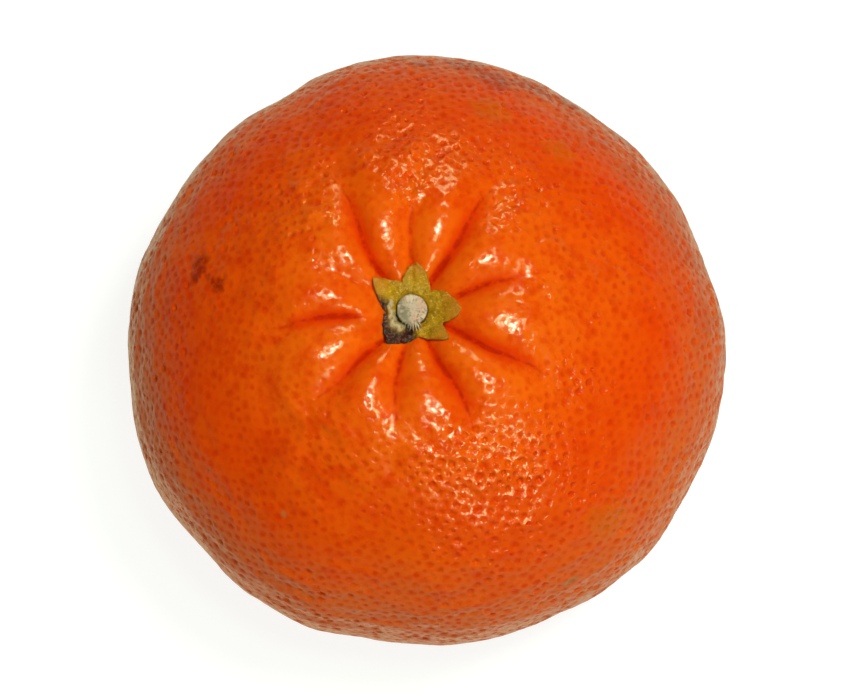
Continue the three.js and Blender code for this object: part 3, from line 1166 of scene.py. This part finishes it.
for mark_name, mark_dabs in MARKS.items():
    add_attribute(skin, mark_name, mark_amount(mark_dabs))
print("marks:", {mark_name: len(mark_dabs) for mark_name, mark_dabs in MARKS.items()})

# %% [markdown]
# ## The calyx
#
# The calyx is the green star that held the flower: five thick little leaves grown together round the
# stem. One of them has dried up and turned black, and a beige crust curls round the stem beside it.
# The star is a ring whose section is flat below and rounded above. It could be cut from a plate, but
# bending a ring keeps its rims soft, and every point of it can follow the skin below.

# %% The outline of the star
# Each leaf: the direction and reach of its tip, and how blunt that is from 0 to 1, then the
# direction and reach of the notch that follows it.
CALYX_LEAVES = [
    {"tip": -3, "reach": 5.1, "blunt": 0.6, "notch": 47, "cut": 2.9},
    {"tip": 86, "reach": 4.9, "blunt": 0.5, "notch": 110, "cut": 3.3},
    {"tip": 143, "reach": 5.2, "blunt": 0.0, "notch": 182, "cut": 3.1},
    {"tip": 234, "reach": 4.6, "blunt": 0.0, "notch": 284, "cut": 3.2},
    {"tip": 319, "reach": 5.1, "blunt": 0.0, "notch": 336, "cut": 3.7},
]
POINTED_POWER = 1.35
BLUNT_POWER = 0.8


def leaf_rise(share, bluntness):
    """How the edge of a leaf rises from the notch beside it, where share is 0, to its tip."""
    pointed = share**POINTED_POWER
    blunt = np.sin(share * np.pi / 2) ** BLUNT_POWER
    return mix(pointed, blunt, bluntness)


def calyx_reach(azimuth):
    """The star's reach in each direction, swinging between its notches and its tips."""
    reach = np.zeros_like(azimuth)
    for before, leaf in zip(CALYX_LEAVES[-1:] + CALYX_LEAVES[:-1], CALYX_LEAVES):
        for notched, way in ((before, 1), (leaf, -1)):
            width = way * turn_between(notched["notch"], leaf["tip"])
            past_notch = way * turn_between(notched["notch"], azimuth)
            rise = leaf_rise(np.clip(past_notch / width, 0.0, 1.0), leaf["blunt"])
            beside_leaf = (past_notch >= 0.0) & (past_notch <= width)
            reach = np.where(beside_leaf, mix(notched["cut"], leaf["reach"], rise), reach)
    return reach


calyx_turns = np.arange(0.0, 360.0, 30.0)
print("calyx reach:", calyx_reach(calyx_turns).round(1))

# %% The star's crust and its dried part
CRUST = {"from": 152.0, "to": 248.0, "distance": 2.35, "width": 0.4, "height": 0.42}
CRUST_WANDER = ((0.12, 7.0), (0.08, 17.0))  # how far it wanders, and how often in one turn
CRUST_WIDENS = (0.75, 1.35)
DRIED = {"middle": 236.0, "spread": 42.0}
DRIED_RIM = {"from": 160.0, "to": 210.0}
DRIED_RIM_BEGINS = (2.6, 2.9)  # distances from the stem


def within(start, end, azimuth, soft=8.0):
    """1 between two directions, falling off softly outside them."""
    middle, half = (start + end) / 2.0, (end - start) / 2.0
    return 1.0 - between(half - soft, half + soft, np.abs(turn_between(middle, azimuth)))


def crust_share(distance, azimuth):
    """The beige crust that curls round the stem."""
    wander = sum(far * np.sin(np.radians(azimuth * often)) for far, often in CRUST_WANDER)
    wider = mix(*CRUST_WIDENS, between(CRUST["from"], CRUST["to"], azimuth))
    across = bell(distance - CRUST["distance"] - wander, CRUST["width"] * wider)
    return across * within(CRUST["from"], CRUST["to"], azimuth)


def dried_share(distance, azimuth):
    """The part of the star that has dried up."""
    start, end = DRIED["middle"] - DRIED["spread"], DRIED["middle"] + DRIED["spread"]
    leaf = within(start, end, azimuth, soft=10.0)
    rim = within(DRIED_RIM["from"], DRIED_RIM["to"], azimuth) * between(*DRIED_RIM_BEGINS, distance)
    return np.maximum(leaf, rim) * (1.0 - crust_share(distance, azimuth))


print("dried part of the star:", round(float(dried_share(np.full(360, 3.5), np.arange(360.0)).mean()), 2))

# %% The star's relief
CALYX_INNER = 1.78  # a little wider than the stem
CALYX_PLATE = 0.62  # thickness
RIB = {"height": 0.12, "spread": 0.9}
RIB_BEGINS = (2.2, 3.6)  # distances from the stem
COLLAR = {"height": 0.16, "distance": 2.2, "spread": 0.45}
DRIED_SHRINKS = 0.3
DRIED_GRAIN = (0.28, 0.6, 3.0)  # height, size, shift
FLESH_GRAINS = ((0.13, 0.75, 0.0), (0.09, 0.33, 7.0))


def grain(flat, height, size, shift):
    """Roughness of the star's upper face."""
    return height * rough(flat + shift, size)


def calyx_height(distance, azimuth, flat):
    """The height of the star's upper face above its foot."""
    dried = dried_share(distance, azimuth)
    height = np.full_like(distance, CALYX_PLATE)
    for leaf in CALYX_LEAVES:
        aside = distance * np.radians(turn_between(leaf["tip"], azimuth))
        height += RIB["height"] * bell(aside, RIB["spread"]) * between(*RIB_BEGINS, distance)
    height += COLLAR["height"] * bell(distance - COLLAR["distance"], COLLAR["spread"]) * (1.0 - dried)
    height += CRUST["height"] * crust_share(distance, azimuth)
    height -= DRIED_SHRINKS * dried
    height += sum(grain(flat, *values) for values in FLESH_GRAINS)
    return height + dried * grain(flat, *DRIED_GRAIN)


print("ribs on the star:", len(CALYX_LEAVES), "each", RIB["height"], "mm high")

# %% The calyx as an object
CALYX_STEPS = 288
CALYX_ACROSS = 15  # rows over the upper face
CALYX_UNDER = 5  # rows under the star
CALYX_RIM_ROWS = 5
INNER_RIM = 0.06  # shares of the way out that the two rounded rims take
OUTER_RIM = 0.08
CALYX_PRESSED = 0.4  # the share of the furrows' depth that the star follows
CALYX_SUNK = 0.35  # how deep its foot is sunk into the peel
CALYX_RAGGED = 0.035  # the share of its reach by which the rim wanders
RAGGED_LUMPS = (4.0, 0.5)  # radius of the circle that its noise is read on, and size
LONG_LEAF = 5.1
RIM_BROWNS = (0.72, 0.98)  # shares of the way out


def calyx_rows():
    """The section's rows: a share of the way out, a share of the height, for each row in turn."""
    start, end = INNER_RIM, 1.0 - OUTER_RIM
    turns = np.linspace(0.0, np.pi, CALYX_RIM_ROWS + 2)[1:-1]
    over = [(share, 1.0) for share in np.linspace(start, end, CALYX_ACROSS)]
    outer_rim = [(end + OUTER_RIM * math.sin(turn), 0.5 + 0.5 * math.cos(turn)) for turn in turns]
    under = [(share, 0.0) for share in np.linspace(end, start, CALYX_UNDER)]
    inner_rim = [(start - INNER_RIM * math.sin(turn), 0.5 - 0.5 * math.cos(turn)) for turn in turns]
    return over + outer_rim + under + inner_rim


def grid_faces(rows, steps):
    """Quads of a tube of rows that closes on itself both ways."""
    row, step = np.meshgrid(np.arange(rows), np.arange(steps), indexing="ij")
    here, there = row * steps, (row + 1) % rows * steps
    next_step = (step + 1) % steps
    corners = [here + step, here + next_step, there + next_step, there + step]
    return np.stack([corner.ravel() for corner in corners], axis=1)


def build_calyx():
    """The star's mesh, with attributes for its crust, its dried part and its rim."""
    azimuth = np.arange(CALYX_STEPS) * 360.0 / CALYX_STEPS
    circle, lump_size = RAGGED_LUMPS
    wander = rough(level_direction(azimuth) * circle, lump_size)
    outer = calyx_reach(azimuth) * (1.0 + CALYX_RAGGED * wander)
    rows = calyx_rows()
    turns = np.tile(azimuth, len(rows))
    distance = np.concatenate([mix(CALYX_INNER, outer, share) for share, _ in rows])
    way_out = np.repeat([share for share, _ in rows], CALYX_STEPS)
    rise = np.repeat([height for _, height in rows], CALYX_STEPS)
    flat = level_direction(turns) * distance[:, None]
    lift = rise * calyx_height(distance, turns, flat)
    sunk = (1.0 - rise) * CALYX_SUNK
    vertices = skin_point(polar_at(distance), turns, lift - sunk, CALYX_PRESSED)
    faces = facing_out(vertices, grid_faces(len(rows), CALYX_STEPS))
    star = make_piece("calyx_star", vertices, faces.tolist(), "calyx")
    add_attribute(star, "crust", crust_share(distance, turns))
    add_attribute(star, "dried", dried_share(distance, turns))
    add_attribute(star, "outward", (distance - CALYX_INNER) / (LONG_LEAF - CALYX_INNER))
    add_attribute(star, "edge", between(*RIM_BROWNS, way_out))
    return star


calyx = build_calyx()

# %% [markdown]
# ## The cut stem
#
# Pickers clip the stem close to the fruit, which leaves a pale woody face, split a little along its
# rays and frayed where the blade came out. A plain cylinder would look like a peg. So the face is a
# disc of rings whose height follows rays of noise, it slopes towards the front, and the frayed
# fibres are thin spikes, sunk into its edge.

# %% The stem's cut face and side
STEM_RADIUS = 1.6
STEM_RISE = 2.3
STEM_STEPS = 120
STEM_RINGS = 16
FACE_RINGS = (0.06, 0.96)  # of the radius, for the innermost and the outermost
STEM_EDGE = ((0.99, 0.06), (1.0, 0.2))  # share of the radius and drop of each ring of the rounded edge
STEM_LEVELS = (1.6, 0.9, 0.1)  # heights of the rings down the side
STEM_FLARE = 0.012  # how much wider each of these is than the last
STEM_OUTLINE = ((0.02, 3, 0.4), (0.015, 7, 0.0))  # share of the radius, count, turn in radians
STEM_TRIM = 0.01  # share of the radius that keeps the outline inside the plain solid
FACE_DROP = 0.1
FACE_DOME = 0.12
FACE_RAYS = ((0.09, 3.5, 0.0, (0.1, 0.5)), (0.05, 9.0, 5.0, (0.2, 0.6)))  # height, crowding, seed, from
RAY_TWIST = 0.7
CUT_TILT = 0.12  # the cut slopes by this much for each millimetre towards the front
CUT_LEVEL = 1.7  # everything above this belongs to the cut
stem_x = AXIS_PLACE[0] + STEM_LEAN[0]
stem_y = AXIS_PLACE[1] + STEM_LEAN[1]
stem_floor = float(crown[0, 2])
STEM_FOOT = np.array([stem_x, stem_y, stem_floor])


def stem_radius(azimuth):
    """The stem's edge: nearly round, with the flats that the blade left."""
    turn = np.radians(azimuth)
    waves = sum(share * np.cos(count * turn + shift) for share, count, shift in STEM_OUTLINE)
    return STEM_RADIUS * (1.0 + waves - STEM_TRIM)


def ray_noise(azimuth, distance, crowding, seed):
    """Noise drawn out along rays from the middle of the stem."""
    flat = level_direction(azimuth) * crowding
    flat[:, 2] = distance * RAY_TWIST + seed
    return rough(flat, 1.0)


def face_height(turns, distance, share):
    """The height of the cut face, low along the rays where it split."""
    height = STEM_RISE - FACE_DROP - FACE_DOME * share**2
    for size, crowding, seed, begins in FACE_RAYS:
        height = height + size * ray_noise(turns, distance, crowding, seed) * between(*begins, share)
    return height


def stem_rings():
    """Direction, distance and height of every vertex, ring by ring from the middle to the foot."""
    azimuth = np.arange(STEM_STEPS) * 360.0 / STEM_STEPS
    shares = np.append(np.linspace(*FACE_RINGS, STEM_RINGS), [share for share, _ in STEM_EDGE])
    drops = np.append(np.zeros(STEM_RINGS), [drop for _, drop in STEM_EDGE])
    face_turns = np.tile(azimuth, len(shares))
    share = np.repeat(shares, STEM_STEPS)
    face_distance = share * stem_radius(face_turns)
    height = face_height(face_turns, face_distance, share) - np.repeat(drops, STEM_STEPS)
    turns = np.tile(azimuth, len(shares) + len(STEM_LEVELS))
    side = [stem_radius(azimuth) * (1.0 + STEM_FLARE * step) for step in range(len(STEM_LEVELS))]
    distance = np.concatenate([face_distance] + side)
    return turns, distance, np.concatenate([height, np.repeat(STEM_LEVELS, STEM_STEPS)])


def build_stem_body():
    """Vertices and faces of the stub, closed by a fan above and one below."""
    turns, distance, height = stem_rings()
    x, y = distance * np.cos(np.radians(turns)), distance * np.sin(np.radians(turns))
    height = height + CUT_TILT * np.minimum(y, 0.0) * (height > CUT_LEVEL)
    vertices = np.stack([stem_x + x, stem_y + y, stem_floor + height], axis=1)
    middles = [STEM_FOOT + (0.0, 0.0, STEM_RISE - FACE_DROP), STEM_FOOT + (0.0, 0.0, STEM_LEVELS[-1])]
    faces = grid_faces(len(vertices) // STEM_STEPS, STEM_STEPS)[:, ::-1]
    faces = [face for face in faces.tolist() if max(face) - min(face) < 2 * STEM_STEPS]
    top, bottom, last = len(vertices), len(vertices) + 1, len(vertices) - STEM_STEPS
    for step in range(STEM_STEPS):
        following = (step + 1) % STEM_STEPS
        faces.append([top, step, following])
        faces.append([bottom, last + following, last + step])
    return np.concatenate([vertices, middles]), faces


stem_vertices, stem_faces = build_stem_body()
stem_body_count = len(stem_vertices)
print("stub:", stem_body_count, "vertices")

# %% Frayed fibres on the stem's front edge
FIBRE_COUNT = 16
FIBRE_SIDES = 5
FIBRE_STEPS = 5
FIBRES_TOWARD = (272.0, 17.0)  # azimuth, spread
FIBRE_LENGTHS = (0.5, 1.15)
FIBRE_WIDTHS = (0.12, 0.26)
FIBRE_DROOPS = (-0.1, 0.3)
FIBRE_RISE = 0.1  # how far a fibre rises before it droops
FIBRE_TAPER = 0.7
LAST_RING = 0.93  # of the fibre's length
FIBRE_ROOT = (0.25, 0.42)  # how far in from the edge and down from the top it starts
ROOT_POINT = 0.1  # how far the closed root end runs back into the wood
UP = np.array([0.0, 0.0, 1.0])


def fibre_vertices(azimuth, length, width, droop):
    """Rings round a bent line that starts inside the stem, then the tip and the root's point."""
    turn = math.radians(azimuth)
    out = np.array([math.cos(turn), math.sin(turn), 0.0])
    aside = np.array([-out[1], out[0], 0.0])
    inward, down = FIBRE_ROOT
    root = STEM_FOOT + UP * (STEM_RISE - down) + out * (STEM_RADIUS - inward)
    vertices = []
    for share in np.linspace(0.0, LAST_RING, FIBRE_STEPS):
        middle = root + out * length * share + UP * (FIBRE_RISE * share - droop * share**2)
        half = width * (1.0 - share) ** FIBRE_TAPER / 2
        for side in range(FIBRE_SIDES):
            around = 2 * math.pi * side / FIBRE_SIDES
            vertices.append(middle + half * (math.cos(around) * aside + math.sin(around) * UP))
    vertices.append(root + out * length + UP * (FIBRE_RISE - droop))
    vertices.append(root - out * ROOT_POINT)
    return vertices


def fibre_faces(first):
    """A fibre's faces, where first is the number of its first vertex."""
    last = first + (FIBRE_STEPS - 1) * FIBRE_SIDES
    tip = last + FIBRE_SIDES
    point = tip + 1
    faces = []
    for side in range(FIBRE_SIDES):
        after = (side + 1) % FIBRE_SIDES
        for low in range(first, last, FIBRE_SIDES):
            high = low + FIBRE_SIDES
            faces.append([low + side, low + after, high + after, high + side])
        faces.append([last + side, last + after, tip])
        faces.append([first + after, first + side, point])
    return faces


def with_fibres(vertices, faces):
    """Adds the frayed fibres to the stem's mesh."""
    vertices, faces = vertices.tolist(), list(faces)
    for _ in range(FIBRE_COUNT):
        azimuth = rng.normal(*FIBRES_TOWARD)
        length, width = rng.uniform(*FIBRE_LENGTHS), rng.uniform(*FIBRE_WIDTHS)
        faces.extend(fibre_faces(len(vertices)))
        fibre = fibre_vertices(azimuth, length, width, rng.uniform(*FIBRE_DROOPS))
        vertices.extend(place.tolist() for place in fibre)
    return vertices, faces


stem_vertices, stem_faces = with_fibres(stem_vertices, stem_faces)
stem = make_piece("stem_stub", stem_vertices, stem_faces, "stem")

# %% What the wood's finish has to know
RAY_DRAWN_OUT = 0.55  # less draws the rays out longer
FIBRE_ACROSS = 0.5  # fibres are coloured like the middle of the face
SPLIT_PLACE = ((0.9, 0.6), (-0.6, 0.7))  # middle and spread of the split, in x and in y
# The grey side is painted shade on the left of the cut face.
SHADE_BEGINS = (0.1, 0.9)  # how far over to the left the wood starts to grey
SHADE_TO_FRONT = 0.3  # how much the grey side is turned to the front


def mark_stem():
    """Stores the direction of the rays, the rim, the grey side and the split side."""
    places = np.array(stem_vertices) - STEM_FOOT
    x, y = places[:, 0], places[:, 1]
    turn, across = np.arctan2(y, x), np.hypot(x, y)
    in_body = np.arange(len(places)) < stem_body_count
    split_x, split_y = SPLIT_PLACE
    split = bell(x - split_x[0], split_x[1]) * bell(y - split_y[0], split_y[1])
    add_attribute(stem, "rays", np.stack([np.cos(turn), np.sin(turn), RAY_DRAWN_OUT * across], axis=1))
    add_attribute(stem, "across", np.where(in_body, across / STEM_RADIUS, FIBRE_ACROSS))
    add_attribute(stem, "shade_side", between(*SHADE_BEGINS, -x - SHADE_TO_FRONT * y))
    add_attribute(stem, "split_side", split)
    print("on the stub itself:", int(in_body.sum()), "of", len(places), "vertices")


mark_stem()

# %% [markdown]
# ## The peel's finish
#
# The orange of a mandarin isn't one colour. Under a clear wax it runs from yellow orange on the
# crown to red orange in the furrows, with a redder spot at every gland and a pale rim. The furrows'
# red is partly the peel's own and partly painted shade, the dark line in each crease is painted
# shade, and a darker, brownish tint on the right rim is painted shade and painted sheen. An image
# could hold all this, but formulas stay sharp at any size. Each line below lays one tint over the
# last, as thin glazes of paint are laid: a noise or an attribute says where, a number how much.
#
# The thin skin lets light in, and red spreads farthest, which keeps the shaded side warm. The wax
# is less glossy in the creases and at the bottom of each pit, so that the glints break up into a net
# round the pits. Waves finer than the mesh are added as bumps.

# %% The tints of the peel
PEEL_ORANGE = (0.85, 0.112, 0.0015, 1.0)
PEEL_YELLOW = (0.92, 0.160, 0.003, 1.0)
PEEL_DEEP = (0.84, 0.074, 0.0005, 1.0)
PEEL_PALE = (0.80, 0.135, 0.008, 1.0)
# The next colour is painted shade and sheen for the right rim.
RIM_SHADE_AND_SHEEN = (0.52, 0.10, 0.024, 1.0)
PEEL_RED = (0.76, 0.045, 0.0003, 1.0)
# The next colour is the painted shade along the bottom of each crease.
PAINTED_CREASE_SHADE = (0.52, 0.017, 0.0002, 1.0)
SPOT_RED = (0.70, 0.032, 0.0002, 1.0)
MARK_COLOURS = {  # colour, strength
    "scar": ((0.36, 0.020, 0.0006, 1.0), 0.95),
    "scratch": ((0.40, 0.20, 0.05, 1.0), 0.7),
    "unripe": ((0.62, 0.16, 0.003, 1.0), 0.45),
    "bruise": ((0.30, 0.05, 0.03, 1.0), 0.6),
}


def ground_colour(peel):
    """Orange in patches, redder further out, paler towards the widest level, with painted shade and sheen
    on the right rim.
    """
    patches = peel.times(peel.span(peel.noise(9.0, 4.0), 0.35, 0.65), 0.7)
    colour = peel.blend(patches, PEEL_ORANGE, PEEL_YELLOW)
    deep = peel.span(peel.noise(6.0, 3.0), 0.3, 0.6, 0.6, 1.0)
    colour = peel.blend(peel.times(peel.attribute("fiery"), deep), colour, PEEL_DEEP)
    mottled = peel.times(peel.span(peel.noise(2.2, 3.0, 0.6), 0.45, 0.68), 0.6)
    colour = peel.blend(mottled, colour, PEEL_RED)
    wander = peel.span(peel.noise(3.0, 3.0), 0.3, 0.7, -1.5, 1.5)
    pale = peel.span(peel.plus(peel.attribute("stem_distance"), wander), 25.0, 33.0)
    colour = peel.blend(pale, colour, PEEL_PALE)
    # Painted shade and sheen: a darker, brownish-pink tint over the right rim, in patches.
    dull = peel.span(peel.noise(3.5, 4.0), 0.3, 0.7, 0.4, 1.0)
    return peel.blend(peel.times(peel.attribute("dull"), dull), colour, RIM_SHADE_AND_SHEEN)


def drawn_colour(peel, colour, reach):
    """The red of furrows, creases and glands, and the marks of growth, over the ground colour; the
    furrows' red is partly painted shade and the creases' dark line is painted shade.
    """
    # Redder peel on the valley sides of the furrows: partly the peel's own colour, partly painted shade.
    colour = peel.blend(peel.span(peel.attribute("furrow"), 0.2, 0.9), colour, PEEL_RED)
    # Painted shade: a broken dark red line along the bottom of each crease.
    broken = peel.span(peel.noise(1.0, 3.0), 0.3, 0.6, 0.45, 1.1)
    creased = peel.times(peel.attribute("creased"), broken)
    colour = peel.blend(peel.span(creased, 0.1, 0.85), colour, PAINTED_CREASE_SHADE)
    spot = peel.span(reach, 0.1, 1.35, 1.0, 0.0)
    colour = peel.blend(peel.times(spot, peel.attribute("gland_tone")), colour, SPOT_RED)
    for mark, (mark_colour, strength) in MARK_COLOURS.items():
        uneven = peel.span(peel.noise(0.6, 4.0, 0.6), 0.35, 0.6, 0.55, 1.0)
        amount = peel.times(peel.attribute(mark), peel.times(uneven, strength))
        colour = peel.blend(amount, colour, mark_colour)
    return colour


print("tints of the marks:", sorted(MARK_COLOURS))

# %% The wax over it, and the whole finish
WAX_SHINE = 0.085  # a thin, slightly matt wax mirrors less than varnish does
WAX_ROUGHNESS = (0.5, 0.2)  # in a crease and elsewhere
PIT_SHINE = 0.12  # the share of the shine at the bottom of a pit
LIGHT_LET_IN = 0.3
PEEL_GLOW = (0.9, 0.22, 0.05)  # how far red, green and blue light spread inside it, in millimetres
DISH_DEPTH = 0.06
WAVE_SIZE = 1.1
WAVE_DEPTH = 0.08
PUCKER_SIZE = 0.7
PUCKER_DEPTH = 0.12
GRAIN_SIZE = 0.3
GRAIN_DEPTH = 0.016


def gland_distance(peel):
    """How far a point is from its gland's middle: 0 in the middle, 1 at the pit's wavy edge."""
    away = peel.distance(peel.place(), peel.attribute("gland_centre", "Vector"))
    reach = peel.math("DIVIDE", away, peel.attribute("gland_reach"))
    return peel.plus(reach, peel.span(peel.noise(0.35), 0.2, 0.8, -0.25, 0.25))


def peel_relief(peel, reach):
    """Bumps finer than the mesh: pits, waves, puckers in the wrinkles, and a fine grain."""
    dish = peel.times(peel.span(reach, 0.0, 1.05), peel.attribute("pit_share"))
    normal = peel.bump(dish, DISH_DEPTH)
    normal = peel.bump(peel.noise(WAVE_SIZE), WAVE_DEPTH, normal)
    puckered = peel.times(peel.noise(PUCKER_SIZE, 1.5), peel.attribute("wrinkled"))
    normal = peel.bump(puckered, PUCKER_DEPTH, normal)
    return peel.bump(peel.noise(GRAIN_SIZE, 1.0), GRAIN_DEPTH, normal)


def peel_finish():
    """Waxy orange peel with a darker spot at every gland."""
    peel = Finish("orange peel")
    reach = gland_distance(peel)
    gloss = peel.attribute("gloss")
    waxy = peel.times(gloss, peel.span(reach, 0.4, 1.05, PIT_SHINE, 1.0))
    peel.shader.inputs["Specular IOR Level"].default_value = WAX_SHINE  # where no link is followed
    sockets = {
        "Base Color": drawn_colour(peel, ground_colour(peel), reach),
        "Normal": peel_relief(peel, reach),
        "Roughness": peel.span(gloss, 0.0, 0.5, *WAX_ROUGHNESS),
        "Specular IOR Level": peel.times(waxy, WAX_SHINE),
        "Subsurface Weight": LIGHT_LET_IN,
        "Subsurface Scale": MM,
        "Subsurface Radius": PEEL_GLOW,
    }
    return peel.finish(sockets)


skin.data.materials.append(peel_finish())
print("orange peel:", len(skin.active_material.node_tree.nodes), "nodes")

# %% [markdown]
# ## The calyx's finish
#
# A calyx on a shop's fruit is past its best: olive and green in the middle, tan at the tips and
# brown along the rims, grained with gold. Its dried leaf is nearly black, and the crust is a crumbly
# beige. The attributes on the mesh say where each of them is, and noise keeps them ragged. Painting
# each leaf with its own material would leave hard seams between them.

# %% Green, tan, beige and black
CALYX_GREEN = (0.50, 0.29, 0.004, 1.0)
CALYX_OLIVE = (0.36, 0.20, 0.003, 1.0)
CALYX_TAN = (0.60, 0.23, 0.010, 1.0)
CALYX_GOLD = (0.80, 0.42, 0.035, 1.0)
CALYX_EDGE = (0.38, 0.15, 0.004, 1.0)
CRUST_BEIGE = (0.58, 0.45, 0.20, 1.0)
CRUST_BROWN = (0.26, 0.19, 0.07, 1.0)
DRIED_BLACK = (0.035, 0.010, 0.009, 1.0)
DRIED_BROWN = (0.22, 0.075, 0.045, 1.0)
CALYX_BUMP = 0.16
CALYX_ROUGHNESS = 0.38
CALYX_SHINE = 0.06


def flesh_colour(star):
    """Olive and green with gold grains, tan towards the tips and brown along the rims."""
    colour = star.blend(star.span(star.noise(0.9, 3.0), 0.35, 0.65), CALYX_OLIVE, CALYX_GREEN)
    grains = star.span(star.noise(0.22, 3.0, 0.6), 0.52, 0.66, 0.0, 0.8)
    colour = star.blend(grains, colour, CALYX_GOLD)
    tips = star.plus(star.attribute("outward"), star.times(star.noise(0.5, 3.0), 0.8))
    colour = star.blend(star.span(tips, 0.75, 1.3), colour, CALYX_TAN)
    broken = star.span(star.noise(0.5, 3.0), 0.3, 0.6, 0.2, 0.8)
    return star.blend(star.times(star.attribute("edge"), broken), colour, CALYX_EDGE)


def calyx_finish():
    """Fleshy green that turns tan at the tips, with a beige crust and a blackened part."""
    star = Finish("calyx green")
    dried = star.blend(star.span(star.noise(0.35, 4.0, 0.6), 0.50, 0.66), DRIED_BLACK, DRIED_BROWN)
    colour = star.blend(star.attribute("dried"), flesh_colour(star), dried)
    crumbs = star.blend(star.span(star.noise(0.5, 4.0, 0.7), 0.36, 0.5), CRUST_BROWN, CRUST_BEIGE)
    sockets = {
        "Base Color": star.blend(star.span(star.attribute("crust"), 0.25, 0.7), colour, crumbs),
        "Normal": star.bump(star.noise(0.35, 4.0, 0.6), CALYX_BUMP),
        "Roughness": CALYX_ROUGHNESS,
        "Specular IOR Level": CALYX_SHINE,
    }
    return star.finish(sockets)


calyx.data.materials.append(calyx_finish())
print("calyx green:", len(calyx.active_material.node_tree.nodes), "nodes")

# %% [markdown]
# ## The stem's finish
#
# Freshly cut wood is pale, with darker lines along its rays and a dark ring of bark at the edge.
# The grey on its left side is painted shade. A ready-made wood texture has straight grain, which is
# wrong for the end of a twig. Noise whose places were drawn out along the rays gives lines that run
# out from the middle.

# %% Pale wood with rays
WOOD_PALE = (0.70, 0.58, 0.36, 1.0)
WOOD_WARM = (0.68, 0.47, 0.28, 1.0)
WOOD_GREY = (0.27, 0.24, 0.13, 1.0)
WOOD_DARK = (0.07, 0.055, 0.03, 1.0)
RAY_SIZE = 0.16  # of the radius, like the next one
CRACK_SIZE = 0.2
WOOD_BUMP = 0.25
WOOD_ROUGHNESS = 0.8
WOOD_SHINE = 0.05


def wood_colour(wood, rays, fine):
    """Pale wood, grey between the rays, darker in the split and at the edge, with painted shade on the
    left.
    """
    pale = wood.blend(wood.span(wood.noise(1.0), 0.45, 0.6), WOOD_PALE, WOOD_WARM)
    colour = wood.blend(wood.span(fine, 0.12, 0.25), WOOD_GREY, pale)
    cracks = wood.span(wood.noise(CRACK_SIZE / MM, 4.0, 0.6, rays), 0.52, 0.6)
    split = wood.times(wood.attribute("split_side"), cracks)
    colour = wood.blend(wood.times(split, 0.9), colour, WOOD_DARK)
    # Painted shade: the wood greys towards the left.
    greyed = wood.span(wood.noise(0.5, 3.0), 0.3, 0.5, 0.4)
    colour = wood.blend(wood.times(wood.attribute("shade_side"), greyed), colour, WOOD_GREY)
    bark = wood.span(wood.attribute("across"), 0.93, 1.02, 0.0, 0.8)
    return wood.blend(bark, colour, WOOD_DARK)


def stem_finish():
    """Pale wood whose rays run out from the middle."""
    wood = Finish("cut wood")
    rays = wood.attribute("rays", "Vector")
    fine = wood.times(wood.noise(RAY_SIZE / MM, 3.0, 0.65, rays), wood.noise(0.6, 3.0))
    sockets = {
        "Base Color": wood_colour(wood, rays, fine),
        "Normal": wood.bump(fine, WOOD_BUMP),
        "Roughness": WOOD_ROUGHNESS,
        "Specular IOR Level": WOOD_SHINE,
    }
    return wood.finish(sockets)


stem.data.materials.append(stem_finish())
print("cut wood:", len(stem.active_material.node_tree.nodes), "nodes")

# %% [markdown]
# ## The finished pieces
#
# The dressed fruit should take the same room as the plain solids. Here only the names of its
# finished pieces are printed.

# %% The finished model's pieces
print("finished:", ", ".join(piece.name for piece in (skin, calyx, stem)))
